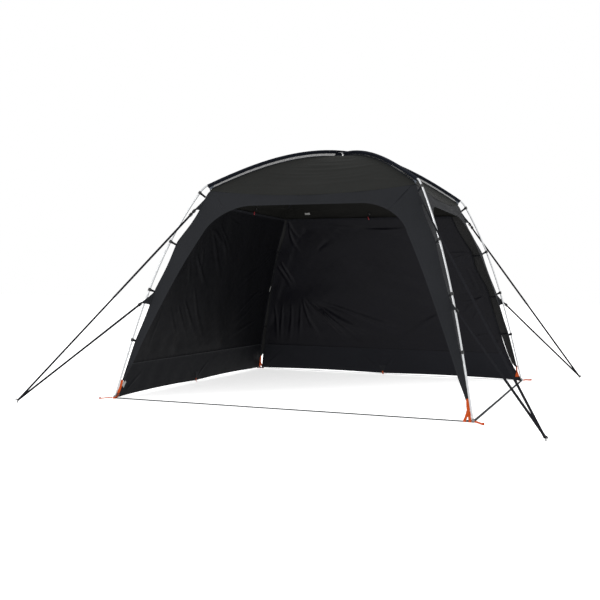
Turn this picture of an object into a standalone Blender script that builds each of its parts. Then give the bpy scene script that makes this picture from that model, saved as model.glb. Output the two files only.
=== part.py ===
# Camping shelter: a square domed canopy on two arches that cross at the top.
# Metres, +Z up. The origin is on the ground at the centre of the square that the four feet stand on.
# The front is the side towards -Y. Every corner and side is the front left one or the front one,
# turned about Z by quarter turns.

import math

import bmesh
import bpy
from mathutils import Matrix, Vector

# Frame of poles: a foot stands at x = y = FOOT_HALF, and a pole leans in along the square's diagonal.
FOOT_HALF = 1.55
RIDGE_HEIGHT = 2.2955
LEG_LEAN = 0.2058
LEG_BOW = 0.02017
LEG_BOW_POWER = 3.4
ARCH_FALL = 0.49
ARCH_FLATTEN = 0.066
CROSSING_LIFT = 0.0084
POLE_RADIUS = 0.008
ELBOW_REACH = 0.045
FOOT_RADIUS = 0.012
FOOT_CAP_HEIGHT = 0.03

# Cloth: the corner edge of the cloth lies inside the pole, closer at the foot than at the eave.
CLOTH = 0.002
CLOTH_GAP_FOOT = 0.02
CLOTH_GAP_EAVE = 0.036
CLOTH_GAP_HEIGHT = 1.9
CLOTH_GAP_POWER = 1.3
EAVE_SAG = 0.065
SEAM_GAP = 0.0005

# Opening in each side: straight slanted edges, elliptical shoulders and a level top.
FLAP_TIP_HEIGHT = 0.16
FLAP_WIDTH_BASE = 0.008
FLAP_WIDENING = 0.14
SHOULDER_HEIGHT = 1.45
SHOULDER_RISE = 0.25
SHOULDER_RUN = 0.31
SHOULDER_END = 0.52
MITRE_ANGLE = math.radians(48)
MITRE_TOP_WIDTH = 0.022

# Walls, which hang just inside the corner panels and the eave band.
HEM_HEIGHT = 0.02
WALL_TOP = 1.74
WALL_SIDE_GAP = 0.03

# Sleeve round each roof pole, with a strip of net between the sleeve and the roof.
SLEEVE_RADIUS = 0.0105
SLEEVE_BORE = 0.0089
SLEEVE_HEM_DEPTH = 0.0205
SLEEVE_HEM_HALF = 0.0015
SLEEVE_START = 0.966
SLEEVE_END = 0.045
CREASE_DEPTH = 0.043
NET_GAP = 0.0003

# Clips that hold the cloth to each leg, by height.
CLIP_HEIGHTS = (0.51, 0.951, 1.38, 1.828)
CLIP_RADIUS = 0.0125
CLIP_LENGTH = 0.028
CLIP_STRAP_WIDTH = 0.018
CLIP_STRAP_THICKNESS = 0.003
CLIP_REACH_MOST = 0.15

# Guys: two flat straps from each corner to one stake.
STAKE_OUT = 2.12
STAKE_RADIUS = 0.006
STAKE_HEIGHT = 0.035
WEB_WIDTH = 0.02
WEB_THICKNESS = 0.002
UPPER_TAB = (1.64, 1.72)
LOWER_TAB = (0.80, 0.915)
STRAP_SIDE = POLE_RADIUS + WEB_THICKNESS / 2 + 0.0008
GUY_END_HEIGHT = 0.021
GUY_STATIONS = (0.08, 0.2, 0.35, 0.5, 0.65, 0.8, 1.0)
GUY_BESIDE_POLE = 0.2

# Straps at the ground.
FOOT_PEG_OUT = 1.64
FOOT_PEG_RADIUS = 0.005
FOOT_PEG_HEIGHT = 0.02
FOOT_STRAP_WIDTH = 0.016
GROUND_STRAP_WIDTH = 0.012
GROUND_STRAP_HEIGHT = 0.007

CORNERS = ("front_left", "front_right", "back_right", "back_left")
GUY_HANDS = (1, -1, 1, -1)
SIDES = ("front", "right", "back", "left")
WALLED_SIDES = ("back", "left")
ARCH_STEPS = 11
FLAP_STEPS = 12
ROOT2 = math.sqrt(2)


def clear_scene():
    for item in list(bpy.data.objects):
        bpy.data.objects.remove(item, do_unlink=True)


def new_collection(name):
    collection = bpy.data.collections.new(name)
    bpy.context.scene.collection.children.link(collection)
    return collection


def make_material(name, color, roughness, metallic=0.0):
    material = bpy.data.materials.new(name)
    material.use_nodes = True
    shader = material.node_tree.nodes["Principled BSDF"]
    shader.inputs["Base Color"].default_value = (*color, 1.0)
    shader.inputs["Roughness"].default_value = roughness
    shader.inputs["Metallic"].default_value = metallic
    return material


# Shape of the frame and of the cloth

def leg_offset(z):
    """x = y of the leg's centre line at height z."""
    return FOOT_HALF - LEG_LEAN * z - LEG_BOW * max(z, 0.0) ** LEG_BOW_POWER


def arch_height(e, lift=0.0):
    """Height of a roof pole's centre line at x = y = e."""
    rise = lift * (1 - (e / SLEEVE_START) ** 2)
    return RIDGE_HEIGHT + rise - ARCH_FALL * e ** 2 + ARCH_FLATTEN * e ** 4


def cloth_offset(z):
    """Half the width of the canopy at height z, to its corner edge."""
    gap = CLOTH_GAP_FOOT + CLOTH_GAP_EAVE * (max(z, 0.0) / CLOTH_GAP_HEIGHT) ** CLOTH_GAP_POWER
    return leg_offset(z) - gap


def arch_normal(e, lift=0.0):
    """Direction square to the arch in its own upright plane, as (along e, up)."""
    step = 0.001
    slope = (arch_height(e + step, lift) - arch_height(e - step, lift)) / (2 * step * ROOT2)
    length = math.hypot(1.0, slope)
    return -slope / length / ROOT2, 1 / length


def below_arch(e, depth, lift=0.0):
    """Point (e, z) that lies depth under the centre line of a roof pole."""
    across, up = arch_normal(e, lift)
    return e - depth * across, arch_height(e, lift) - depth * up


def bisect(function, low, high):
    rising = function(high) > 0
    for _ in range(50):
        middle = (low + high) / 2
        if (function(middle) > 0) == rising:
            high = middle
        else:
            low = middle
    return (low + high) / 2


def eave_station():
    """Place along the arch whose crease point is on the corner edge of the cloth."""
    def miss(e):
        crease_e, crease_z = below_arch(e, CREASE_DEPTH)
        return crease_e - cloth_offset(crease_z)
    return bisect(miss, 0.8, 1.0)


def arch_stations():
    start = eave_station()
    return [start + (SLEEVE_END - start) * i / ARCH_STEPS for i in range(ARCH_STEPS + 1)]


def crease_points():
    """Points (e, z) of the roof's crease, from the eave's corner to the top."""
    points = [below_arch(e, CREASE_DEPTH) for e in arch_stations()]
    return points + [below_arch(0.002, CREASE_DEPTH)]


def seam_height(fraction):
    """Height of the eave seam at a share of the half width."""
    corner_z = crease_points()[0][1]
    return corner_z - EAVE_SAG * (1 - fraction ** 2)


def shoulder_point(angle):
    """(height, width of the flap) on the opening's rounded shoulder."""
    height = SHOULDER_HEIGHT + SHOULDER_RISE * math.sin(angle)
    return height, SHOULDER_END - SHOULDER_RUN * math.cos(angle)


def mitre_point(share):
    """(height, width of the flap) on the seam between a flap and the eave band."""
    low_z, low_width = shoulder_point(MITRE_ANGLE)
    high_z = crease_points()[0][1] - CLOTH - 0.010
    width = low_width + (MITRE_TOP_WIDTH - low_width) * share
    return low_z + (high_z - low_z) * share, width


def flap_rows():
    """(height, width) of the flaps on each corner panel, from their tip up to the eave."""
    rise = SHOULDER_HEIGHT - FLAP_TIP_HEIGHT
    heights = [FLAP_TIP_HEIGHT + rise * i / FLAP_STEPS for i in range(FLAP_STEPS)]
    rows = [(z, FLAP_WIDTH_BASE + FLAP_WIDENING * z) for z in heights]
    rows += [shoulder_point(MITRE_ANGLE * i / 3) for i in range(3)]
    return rows + [mitre_point(i / 4) for i in range(5)]


# Mesh builders

def object_from_bmesh(name, bm, quarter_turns=0):
    bmesh.ops.recalc_face_normals(bm, faces=bm.faces)
    bm.transform(Matrix.Rotation(math.radians(90 * quarter_turns), 4, "Z"))
    mesh = bpy.data.meshes.new(name)
    bm.to_mesh(mesh)
    bm.free()
    return bpy.data.objects.new(name, mesh)


def join_rings(bm, rings, close_ends=True):
    rows = [[bm.verts.new(point) for point in ring] for ring in rings]
    count = len(rows[0])
    for low, high in zip(rows, rows[1:]):
        for i in range(count):
            j = (i + 1) % count
            bm.faces.new((low[i], low[j], high[j], high[i]))
    if close_ends:
        bm.faces.new(rows[0])
        bm.faces.new(rows[-1])
    return rows


def loft(name, rings, quarter_turns=0):
    bm = bmesh.new()
    join_rings(bm, rings)
    return object_from_bmesh(name, bm, quarter_turns)


def hollow_loft(name, outer, inner, quarter_turns=0):
    bm = bmesh.new()
    outside = join_rings(bm, outer, close_ends=False)
    inside = join_rings(bm, inner, close_ends=False)
    count = len(outer[0])
    for end in (0, -1):
        for i in range(count):
            j = (i + 1) % count
            bm.faces.new((outside[end][i], outside[end][j], inside[end][j], inside[end][i]))
    return object_from_bmesh(name, bm, quarter_turns)


def slab(name, face, back, quarter_turns=0):
    """Closed sheet between two grids of points, rows by columns."""
    bm = bmesh.new()
    grids = [[[bm.verts.new(point) for point in row] for row in grid] for grid in (face, back)]
    rows, columns = len(face), len(face[0])
    for grid in grids:
        for i in range(rows - 1):
            for j in range(columns - 1):
                bm.faces.new((grid[i][j], grid[i][j + 1], grid[i + 1][j + 1], grid[i + 1][j]))
    rim = [(0, j) for j in range(columns)] + [(i, columns - 1) for i in range(1, rows)]
    rim += [(rows - 1, j) for j in range(columns - 2, -1, -1)] + [(i, 0) for i in range(rows - 2, 0, -1)]
    for (i, j), (k, m) in zip(rim, rim[1:] + rim[:1]):
        bm.faces.new((grids[0][i][j], grids[0][k][m], grids[1][k][m], grids[1][i][j]))
    return object_from_bmesh(name, bm, quarter_turns)


def corner_point(e, z, side=0.0):
    """Point over the front left diagonal, moved sideways from its upright plane."""
    return Vector((-e + side / ROOT2, -e - side / ROOT2, z))


def arch_ring(e, lift, profile):
    across, up = arch_normal(e, lift)
    centre_z = arch_height(e, lift)
    return [corner_point(e + v * across, centre_z + v * up, side) for side, v in profile]


def tube(name, points, radius):
    """Rod along a row of points, as a mesh with closed ends."""
    curve = bpy.data.curves.new(name, "CURVE")
    curve.dimensions = "3D"
    curve.bevel_depth = radius
    curve.bevel_resolution = 2
    curve.use_fill_caps = True
    spline = curve.splines.new("POLY")
    spline.points.add(len(points) - 1)
    for spline_point, point in zip(spline.points, points):
        spline_point.co = (*point, 1.0)
    guide = bpy.data.objects.new(name + "_line", curve)
    bpy.context.scene.collection.objects.link(guide)
    bpy.context.view_layer.update()
    evaluated = guide.evaluated_get(bpy.context.evaluated_depsgraph_get())
    mesh = bpy.data.meshes.new_from_object(evaluated)
    bpy.data.objects.remove(guide, do_unlink=True)
    bm = bmesh.new()
    bm.from_mesh(mesh)
    bmesh.ops.remove_doubles(bm, verts=bm.verts, dist=0.00001)
    bpy.data.meshes.remove(mesh)
    return object_from_bmesh(name, bm)


def round_bar(name, centre, direction, radius, length, sides=12):
    bm = bmesh.new()
    turn = Vector(direction).to_track_quat("Z", "Y").to_matrix().to_4x4()
    bmesh.ops.create_cone(
        bm, cap_ends=True, segments=sides, radius1=radius, radius2=radius, depth=length,
        matrix=Matrix.Translation(centre) @ turn,
    )
    return object_from_bmesh(name, bm)


def join_solids(body, additions, cutters):
    """Boolean union of a solid with each of the additions."""
    for addition in additions:
        cutters.objects.link(addition)
        addition.hide_render = True
        addition.display_type = "WIRE"
        modifier = body.modifiers.new(addition.name, "BOOLEAN")
        modifier.operation = "UNION"
        modifier.solver = "EXACT"
        modifier.object = addition
    return body


def turn_points(points, quarter_turns):
    turn = Matrix.Rotation(math.radians(90 * quarter_turns), 3, "Z")
    return [turn @ point for point in points]


# Frame

def elbow_points():
    """Smooth bend where the leg's line meets the arch's line."""
    meet_z = bisect(lambda z: z - arch_height(leg_offset(z)), 1.7, 2.0)
    meet = Vector((leg_offset(meet_z), meet_z))
    low_z = meet_z - ELBOW_REACH
    low = Vector((leg_offset(low_z), low_z))
    high = Vector((SLEEVE_START + 0.0027, arch_height(SLEEVE_START + 0.0027)))
    points = []
    for i in range(6):
        t = i / 5
        points.append(low * (1 - t) ** 2 + meet * 2 * t * (1 - t) + high * t ** 2)
    return points


def make_leg(corner, quarter_turns, cutters):
    elbow = elbow_points()
    heights = [0.012 + (elbow[0].y - 0.012) * i / 10 for i in range(10)]
    line = [corner_point(leg_offset(z), z) for z in heights]
    line += [corner_point(point.x, point.y) for point in elbow]
    leg = tube("leg_" + corner, turn_points(line, quarter_turns), POLE_RADIUS)
    foot_centre = corner_point(FOOT_HALF, FOOT_CAP_HEIGHT / 2)
    foot_centre = turn_points([foot_centre], quarter_turns)[0]
    parts = [round_bar(f"foot_{corner}", foot_centre, (0, 0, 1), FOOT_RADIUS, FOOT_CAP_HEIGHT)]
    for number, z in enumerate(CLIP_HEIGHTS):
        parts += make_clip(f"clip_{corner}_{number}", z, quarter_turns)
    return join_solids(leg, parts, cutters)


def make_clip(name, z, quarter_turns):
    """Collar round the pole, and a strap that runs square to the pole down to the cloth's edge."""
    step = 0.01
    pole = Vector((leg_offset(z) * ROOT2, z))
    along = Vector(((leg_offset(z + step) - leg_offset(z)) * ROOT2, step)).normalized()
    inward = Vector((-along.y, along.x))
    centre = corner_point(leg_offset(z), z)
    ahead = corner_point(leg_offset(z + step), z + step)
    centre, ahead = turn_points([centre, ahead], quarter_turns)
    collar = round_bar(name + "_collar", centre, ahead - centre, CLIP_RADIUS, CLIP_LENGTH)
    half = CLIP_STRAP_THICKNESS / 2
    clearance = SEAM_GAP + half / ROOT2

    def reach_to_cloth(start):
        def miss(run):
            point = start + inward * run
            return point.x / ROOT2 - cloth_offset(point.y) - clearance
        return bisect(miss, 0.0, CLIP_REACH_MOST)

    rings = []
    for at_pole in (True, False):
        ring = []
        for up, side in ((-1, -1), (-1, 1), (1, 1), (1, -1)):
            start = pole + along * up * CLIP_STRAP_WIDTH / 2
            point = start if at_pole else start + inward * reach_to_cloth(start)
            ring.append(corner_point(point.x / ROOT2, point.y, side * half))
        rings.append(ring)
    strap = loft(name + "_strap", rings, quarter_turns)
    return [collar, strap]


def make_roof_pole(name, quarter_turns, lift):
    stations = [SLEEVE_START + 0.0022] + arch_stations()
    stations += [-e for e in reversed(stations)]
    line = [corner_point(e, arch_height(abs(e), lift)) for e in stations]
    return tube(name, turn_points(line, quarter_turns), POLE_RADIUS)


def make_sleeve(corner, quarter_turns, lift):
    angles = [math.radians(-30 + 30 * i) for i in range(12)]
    outer = [(SLEEVE_RADIUS * math.cos(a), SLEEVE_RADIUS * math.sin(a)) for a in angles[:9]]
    outer += [(side * SLEEVE_HEM_HALF, -SLEEVE_HEM_DEPTH) for side in (-1, 0, 1)]
    inner = [(SLEEVE_BORE * math.cos(a), SLEEVE_BORE * math.sin(a)) for a in angles]
    stations = [SLEEVE_START] + arch_stations()
    outer_rings = [arch_ring(e, lift, outer) for e in stations]
    inner_rings = [arch_ring(e, lift, inner) for e in stations]
    return hollow_loft("sleeve_" + corner, outer_rings, inner_rings, quarter_turns)


def make_net(corner, quarter_turns, lift):
    half = CLOTH / 2
    top = -SLEEVE_HEM_DEPTH - NET_GAP
    rings = []
    for e in arch_stations():
        high = arch_ring(e, lift, ((-half, top), (half, top)))
        low = arch_ring(e, 0.0, ((half, -CREASE_DEPTH + NET_GAP), (-half, -CREASE_DEPTH + NET_GAP)))
        rings.append(high + low)
    return loft("net_" + corner, rings, quarter_turns)


# Canopy

def opening_columns():
    """Points (x, z) of the opening's edge along the eave band, left to right."""
    angles = [MITRE_ANGLE, (MITRE_ANGLE + math.pi / 2) / 2, math.pi / 2]
    left = []
    for angle in angles:
        z, width = shoulder_point(angle)
        left.append((width - cloth_offset(z), z))
    inner_x = left[-1][0]
    level = [(inner_x * (1 - i / 3), left[-1][1]) for i in range(1, 6)]
    right = [(-x, z) for x, z in reversed(left)]
    return left + level + right


def seam_fractions():
    """Places of the eave band's columns along the eave seam, as shares of the half width."""
    columns = opening_columns()
    corner_e = crease_points()[0][0]
    high_z, width = mitre_point(1.0)
    end = (cloth_offset(high_z) - width) / corner_e
    return [x / columns[-1][0] * end for x, z in columns]


def make_roof_panel(side, quarter_turns):
    creases = crease_points()
    corner_e = creases[0][0]
    fractions = [-1.0] + seam_fractions() + [1.0]
    face = []
    for e, z in creases:
        share = e / corner_e
        row = []
        for v in fractions:
            bulge = (cloth_offset(seam_height(v)) - corner_e) * share ** 2
            x = v * (e - SEAM_GAP / 2)
            row.append(Vector((x, -e - bulge, z - EAVE_SAG * share ** 1.5 * (1 - v * v))))
        face.append(row)
    back = [[point - Vector((0, 0, CLOTH)) for point in row] for row in face]
    return slab(f"roof_{side}", face, back, quarter_turns)


def make_eave_band(side, quarter_turns):
    columns = opening_columns()
    corner_e = crease_points()[0][0]
    rows = 4
    face = []
    last = len(columns) - 1
    for number, ((x, z), v) in enumerate(zip(columns, seam_fractions())):
        top_z = seam_height(v) - CLOTH - SEAM_GAP
        line = []
        for i in range(rows + 1):
            share = i / rows
            level = z + (top_z - z) * share
            across = x + (v * corner_e - x) * share
            if number in (0, last):
                level, width = mitre_point(share)
                across = math.copysign(cloth_offset(level) - width - SEAM_GAP, x)
            line.append(Vector((across, -cloth_offset(level), level)))
        face.append(line)
    back = [[point + Vector((0, CLOTH, 0)) for point in line] for line in face]
    return slab(f"eave_band_{side}", face, back, quarter_turns)


def make_corner_panel(corner, quarter_turns):
    rings = []
    for z, width in flap_rows():
        e = cloth_offset(z)
        outline = ((e, e), (e - width, e), (e - width, e - CLOTH), (e - CLOTH, e - CLOTH))
        outline += ((e - CLOTH, e - width), (e, e - width))
        rings.append([Vector((-x, -y, z)) for x, y in outline])
    return loft("corner_" + corner, rings, quarter_turns)


def make_wall(side, quarter_turns):
    """Wall that laps inside the opening's edges, nearly from corner to corner."""
    heights = [HEM_HEIGHT] + [z for z, _ in flap_rows() if z < WALL_TOP - 0.01] + [WALL_TOP]
    face = []
    for z in heights:
        half = cloth_offset(z) - WALL_SIDE_GAP
        depth = cloth_offset(z) - CLOTH - SEAM_GAP
        face.append([Vector((x, -depth, z)) for x in (-half, half)])
    back = [[point + Vector((0, CLOTH, 0)) for point in row] for row in face]
    return slab(f"{side}_wall", face, back, quarter_turns)


# Straps and stakes

def strap_ring(e, low, high, side, thickness=WEB_THICKNESS):
    half = thickness / 2
    return [
        corner_point(e[0], low, side - half),
        corner_point(e[0], low, side + half),
        corner_point(e[1], high, side + half),
        corner_point(e[1], high, side - half),
    ]


def band_ring(centre, direction, width, side):
    """Cross section of a flat strap whose width stands in the diagonal's upright plane."""
    direction = Vector(direction).normalized()
    lift = Vector((-direction.y, direction.x)) * width / 2
    lift.x /= ROOT2
    low, high = Vector(centre) - lift, Vector(centre) + lift
    return strap_ring((low.x, high.x), low.y, high.y, side)


def tab_ring(levels):
    """End of a tab along the corner edge of the cloth, a seam's gap outside it."""
    low, high = levels
    reach = SEAM_GAP + WEB_THICKNESS / 2 / ROOT2
    return strap_ring((cloth_offset(low) + reach, cloth_offset(high) + reach), low, high, 0.0)


def guy_rings(start, end, start_side, end_side):
    """Cross sections of a taut strap that passes the pole first and then runs to the stake."""
    direction = ((end.x - start.x) * ROOT2, end.y - start.y)
    rings = [band_ring(start, direction, WEB_WIDTH, start_side)]
    for share in GUY_STATIONS:
        over = max(0.0, share - GUY_BESIDE_POLE) / (1 - GUY_BESIDE_POLE)
        side = start_side + (end_side - start_side) * over
        rings.append(band_ring(start.lerp(end, share), direction, WEB_WIDTH, side))
    return rings


def make_upper_guy(corner, quarter_turns, hand):
    start = Vector((cloth_offset(UPPER_TAB[0]) + 0.03, UPPER_TAB[0] - 0.005))
    end = Vector((STAKE_OUT, GUY_END_HEIGHT))
    stake_side = STAKE_RADIUS + WEB_THICKNESS / 2 + SEAM_GAP
    rings = [tab_ring(UPPER_TAB)] + guy_rings(start, end, hand * STRAP_SIDE, hand * stake_side)
    return loft("guy_upper_" + corner, rings, quarter_turns)


def make_lower_guy(corner, quarter_turns, hand, cutters):
    middle = (LOWER_TAB[0] + LOWER_TAB[1]) / 2
    low, high = middle - 0.03, middle + 0.03
    side = hand * STRAP_SIDE
    beside = Vector((leg_offset(middle) + 0.012, middle - 0.012))
    end = Vector((STAKE_OUT, GUY_END_HEIGHT))
    inner = strap_ring((leg_offset(low) - 0.009, leg_offset(high) - 0.009), low, high, side)
    rings = [tab_ring(LOWER_TAB), inner] + guy_rings(beside, end, side, 0.0)
    strap = loft("guy_lower_" + corner, rings, quarter_turns)
    centre = turn_points([corner_point(STAKE_OUT, STAKE_HEIGHT / 2)], quarter_turns)[0]
    stake = round_bar("stake_" + corner, centre, (0, 0, 1), STAKE_RADIUS, STAKE_HEIGHT)
    return join_solids(strap, [stake], cutters)


def make_foot_strap(corner, quarter_turns, cutters):
    beside = FOOT_RADIUS + WEB_THICKNESS / 2 + SEAM_GAP
    tip_e = cloth_offset(FLAP_TIP_HEIGHT)
    line = [
        ((tip_e - 0.004, FLAP_TIP_HEIGHT - 0.001), (0.25, -1), 0.0),
        ((FOOT_HALF - 0.018, 0.045), (0.6, -1), beside),
        ((FOOT_HALF + 0.008, 0.024), (1, -0.15), beside),
        ((FOOT_PEG_OUT, 0.011), (1, -0.1), 0.0),
    ]
    rings = [band_ring(point, direction, FOOT_STRAP_WIDTH, side) for point, direction, side in line]
    level = FLAP_TIP_HEIGHT - 0.0004
    rings[0] = strap_ring((tip_e - 0.012, tip_e - 0.001), level, level, 0.0)
    strap = loft("foot_strap_" + corner, rings, quarter_turns)
    centre = turn_points([corner_point(FOOT_PEG_OUT, FOOT_PEG_HEIGHT / 2)], quarter_turns)[0]
    peg = round_bar("peg_" + corner, centre, (0, 0, 1), FOOT_PEG_RADIUS, FOOT_PEG_HEIGHT)
    return join_solids(strap, [peg], cutters)


def make_ground_strap(side, quarter_turns):
    reach = FOOT_HALF - FOOT_RADIUS - SEAM_GAP
    bm = bmesh.new()
    size = Matrix.Diagonal((2 * reach, GROUND_STRAP_WIDTH, WEB_THICKNESS, 1))
    place = Matrix.Translation((0, -FOOT_HALF, GROUND_STRAP_HEIGHT))
    bmesh.ops.create_cube(bm, size=1, matrix=place @ size)
    return object_from_bmesh(f"ground_strap_{side}", bm, quarter_turns)


def build():
    clear_scene()
    shelter = new_collection("camping_shelter")
    cutters = new_collection("cutters")
    black_cloth = make_material("black_cloth", (0.018, 0.019, 0.021), 0.75)
    roof_cloth = make_material("roof_cloth", (0.024, 0.026, 0.025), 0.7)
    net_cloth = make_material("net_cloth", (0.45, 0.44, 0.41), 0.8)
    pole_metal = make_material("pole_metal", (0.66, 0.67, 0.68), 0.3, 0.9)
    webbing = make_material("webbing", (0.012, 0.013, 0.016), 0.8)
    orange_webbing = make_material("orange_webbing", (0.75, 0.12, 0.02), 0.7)
    pieces = []
    for turns, corner in enumerate(CORNERS):
        lift = CROSSING_LIFT if turns % 2 == 0 else -CROSSING_LIFT
        pieces += [
            (make_leg(corner, turns, cutters), pole_metal),
            (make_sleeve(corner, turns, lift), black_cloth),
            (make_net(corner, turns, lift), net_cloth),
            (make_corner_panel(corner, turns), black_cloth),
            (make_upper_guy(corner, turns, GUY_HANDS[turns]), webbing),
            (make_lower_guy(corner, turns, GUY_HANDS[turns], cutters), webbing),
            (make_foot_strap(corner, turns, cutters), orange_webbing),
        ]
    pieces.append((make_roof_pole("roof_pole_upper", 0, CROSSING_LIFT), pole_metal))
    pieces.append((make_roof_pole("roof_pole_lower", 1, -CROSSING_LIFT), pole_metal))
    for turns, side in enumerate(SIDES):
        pieces.append((make_roof_panel(side, turns), roof_cloth))
        pieces.append((make_eave_band(side, turns), black_cloth))
        pieces.append((make_ground_strap(side, turns), webbing))
        if side in WALLED_SIDES:
            pieces.append((make_wall(side, turns), black_cloth))
    for piece, material in pieces:
        shelter.objects.link(piece)
        piece.data.materials.append(material)


build()
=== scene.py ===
# Camping shelter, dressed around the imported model. Metres, +Z up, the open front faces -Y.
import math

import bmesh
import bpy
import numpy as np
from mathutils import Matrix, Vector


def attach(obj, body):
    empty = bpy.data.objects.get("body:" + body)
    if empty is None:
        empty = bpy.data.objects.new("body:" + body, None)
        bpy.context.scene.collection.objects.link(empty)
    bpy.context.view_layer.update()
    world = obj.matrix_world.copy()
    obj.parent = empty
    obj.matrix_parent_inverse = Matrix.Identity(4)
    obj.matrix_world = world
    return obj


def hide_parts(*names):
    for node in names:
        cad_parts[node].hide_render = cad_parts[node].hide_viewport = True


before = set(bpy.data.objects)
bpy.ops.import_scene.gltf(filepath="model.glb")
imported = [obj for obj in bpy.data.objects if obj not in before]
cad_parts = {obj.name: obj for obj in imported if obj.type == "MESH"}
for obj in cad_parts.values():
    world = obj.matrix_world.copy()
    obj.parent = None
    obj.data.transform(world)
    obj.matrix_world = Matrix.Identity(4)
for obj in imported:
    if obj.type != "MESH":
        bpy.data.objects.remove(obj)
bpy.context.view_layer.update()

root2 = math.sqrt(2)

# the frame and the cloth have the same figures here as the solids
poles = {"footHalf": 1.55, "ridge": 2.2955, "lean": 0.2058, "bow": 0.02017, "bowPower": 3.4,
         "fall": 0.49, "flatten": 0.066, "lift": 0.0084, "radius": 0.008, "elbowReach": 0.045,
         "sleeveStart": 0.966, "sleeveEnd": 0.045}
cloth = {"gapFoot": 0.02, "footLess": 0.008, "gapEave": 0.036, "gapHeight": 1.9, "gapPower": 1.3,
         "crease": 0.043, "sag": 0.065}
opening = {"tip": 0.16, "pinch": 0.010, "pinchTop": 0.34, "base": 0.008, "widen": 0.14, "shoulder": 1.45,
           "rise": 0.25, "run": 0.31, "end": 0.52, "mitre": math.radians(48), "mitreTop": 0.022}
clipHeights = (0.51, 0.951, 1.38, 1.828)
corners = {"front_left": (-1, -1), "front_right": (1, -1), "back_right": (1, 1), "back_left": (-1, 1)}
sides = ("front", "right", "back", "left")  # each is the front one, turned by quarter turns
walled = ("back", "left")


# shape

def ease(low, high, x):
    t = np.clip((x - low) / (high - low), 0, 1)
    return t * t * (3 - 2 * t)


def legOffset(z):  # x = y of a leg's centre line
    z = np.maximum(z, 0.0)
    return poles["footHalf"] - poles["lean"] * z - poles["bow"] * z ** poles["bowPower"]


def clothOffset(z):  # half the canopy's width, where the clips hold its corner edge
    z = np.maximum(z, 0.0)
    share = (z / cloth["gapHeight"]) ** cloth["gapPower"]
    low = cloth["footLess"] * (1 - ease(0.3, 1.0, z))
    return legOffset(z) - cloth["gapFoot"] + low - cloth["gapEave"] * share


def archHeight(e, lift=0.0):
    rise = lift * (1 - (e / poles["sleeveStart"]) ** 2)
    return poles["ridge"] + rise - poles["fall"] * e ** 2 + poles["flatten"] * e ** 4


def archNormal(e, lift=0.0):  # (along e, up), square to a roof pole
    step = 0.001
    slope = (archHeight(e + step, lift) - archHeight(e - step, lift)) / (2 * step * root2)
    length = np.hypot(1.0, slope)
    return -slope / length / root2, 1 / length


def belowArch(e, depth, lift=0.0):
    across, rise = archNormal(e, lift)
    return e - depth * across, archHeight(e, lift) - depth * rise


def solve(function, low, high):  # where a steady function crosses zero
    upward = function(high) > 0
    for _ in range(50):
        middle = (low + high) / 2
        if (function(middle) > 0) == upward:
            high = middle
        else:
            low = middle
    return (low + high) / 2


def creaseMiss(e):
    creaseE, creaseZ = belowArch(e, cloth["crease"])
    return creaseE - clothOffset(creaseZ)


eaveStation = solve(creaseMiss, 0.8, 1.0)
cornerE, cornerZ = belowArch(eaveStation, cloth["crease"])


def seamHeight(v):  # the eave seam, at a share of the half width
    return cornerZ - cloth["sag"] * (1 - v ** 2)


def ripple(a, b, seed, size, count=7):  # smooth unevenness, the same each run
    dice = np.random.RandomState(seed)
    total = np.zeros(np.broadcast(a, b).shape)
    for _ in range(count):
        angle, phase = dice.uniform(0, 2 * math.pi, 2)
        k = 2 * math.pi / (size * dice.uniform(0.7, 1.6))
        total = total + np.sin(k * (a * math.cos(angle) + b * math.sin(angle)) + phase)
    return total / math.sqrt(count)


def creases(a, b, folds, bend=0.05):
    # each fold runs from one point to another: (a, b, a, b, height, width), narrow first and wider on
    dice = np.random.RandomState(len(folds))
    total = np.zeros(np.broadcast(a, b).shape)
    for a0, b0, a1, b1, height, width in folds:
        length = math.hypot(a1 - a0, b1 - b0)
        ua, ub = (a1 - a0) / length, (b1 - b0) / length
        t = ((a - a0) * ua + (b - b0) * ub) / length
        bow = dice.uniform(-bend, bend) * length * np.sin(math.pi * np.clip(t, 0, 1))
        s = (b - b0) * ua - (a - a0) * ub - bow
        q = s / (width * (0.4 + 0.8 * np.clip(t, 0, 1)))
        taper = ease(-0.04, 0.25, t) * (1 - ease(0.4, 1.05, t))
        total = total + height * taper * np.exp(-q ** 2) * (1 - 0.8 * q ** 2)
    return total


def turned(points, turns):
    c, s = round(math.cos(turns * math.pi / 2)), round(math.sin(turns * math.pi / 2))
    return np.asarray(points, float) @ np.array([[c, -s, 0], [s, c, 0], [0, 0, 1]], float).T


def cornerFrame(corner):  # outwards along the diagonal, and sideways towards the nearer of front and back
    sx, sy = corners[corner]
    return np.array([sx, sy, 0]) / root2, np.array([sx * sy, -1, 0]) / root2


def cornerPoint(corner, e, z, side=0.0):
    out, across = cornerFrame(corner)
    return out * e * root2 + across * side + np.array([0, 0, z])


# finishes

def startMaterial(name, color, roughness, **sockets):
    material = bpy.data.materials.new(name)
    material.use_nodes = True
    tree = material.node_tree
    shader = tree.nodes["Principled BSDF"]
    shader.inputs["Base Color"].default_value = (*color, 1)
    shader.inputs["Roughness"].default_value = roughness
    for key, value in sockets.items():
        shader.inputs[key.replace("_", " ")].default_value = value

    def add(kind, out=0, settings=None, **inputs):
        node = tree.nodes.new("ShaderNode" + kind)
        for key, value in (settings or {}).items():
            setattr(node, key, value)
        for key, value in inputs.items():
            key = int(key[1:]) if key[0] == "i" and key[1:].isdigit() else key.replace("_", " ")
            if isinstance(value, bpy.types.NodeSocket):
                tree.links.new(value, node.inputs[key])
            else:
                node.inputs[key].default_value = value
        return node.outputs[out]

    def sums(operation, a, b=0.0, c=0.0):
        return add("Math", settings={"operation": operation}, i0=a, i1=b, i2=c)

    def plug(socket, key):
        tree.links.new(socket, shader.inputs[key])

    return material, add, sums, plug


def dull(level):  # cloth and webbing hardly shine
    return {"Specular_IOR_Level": level}


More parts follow.
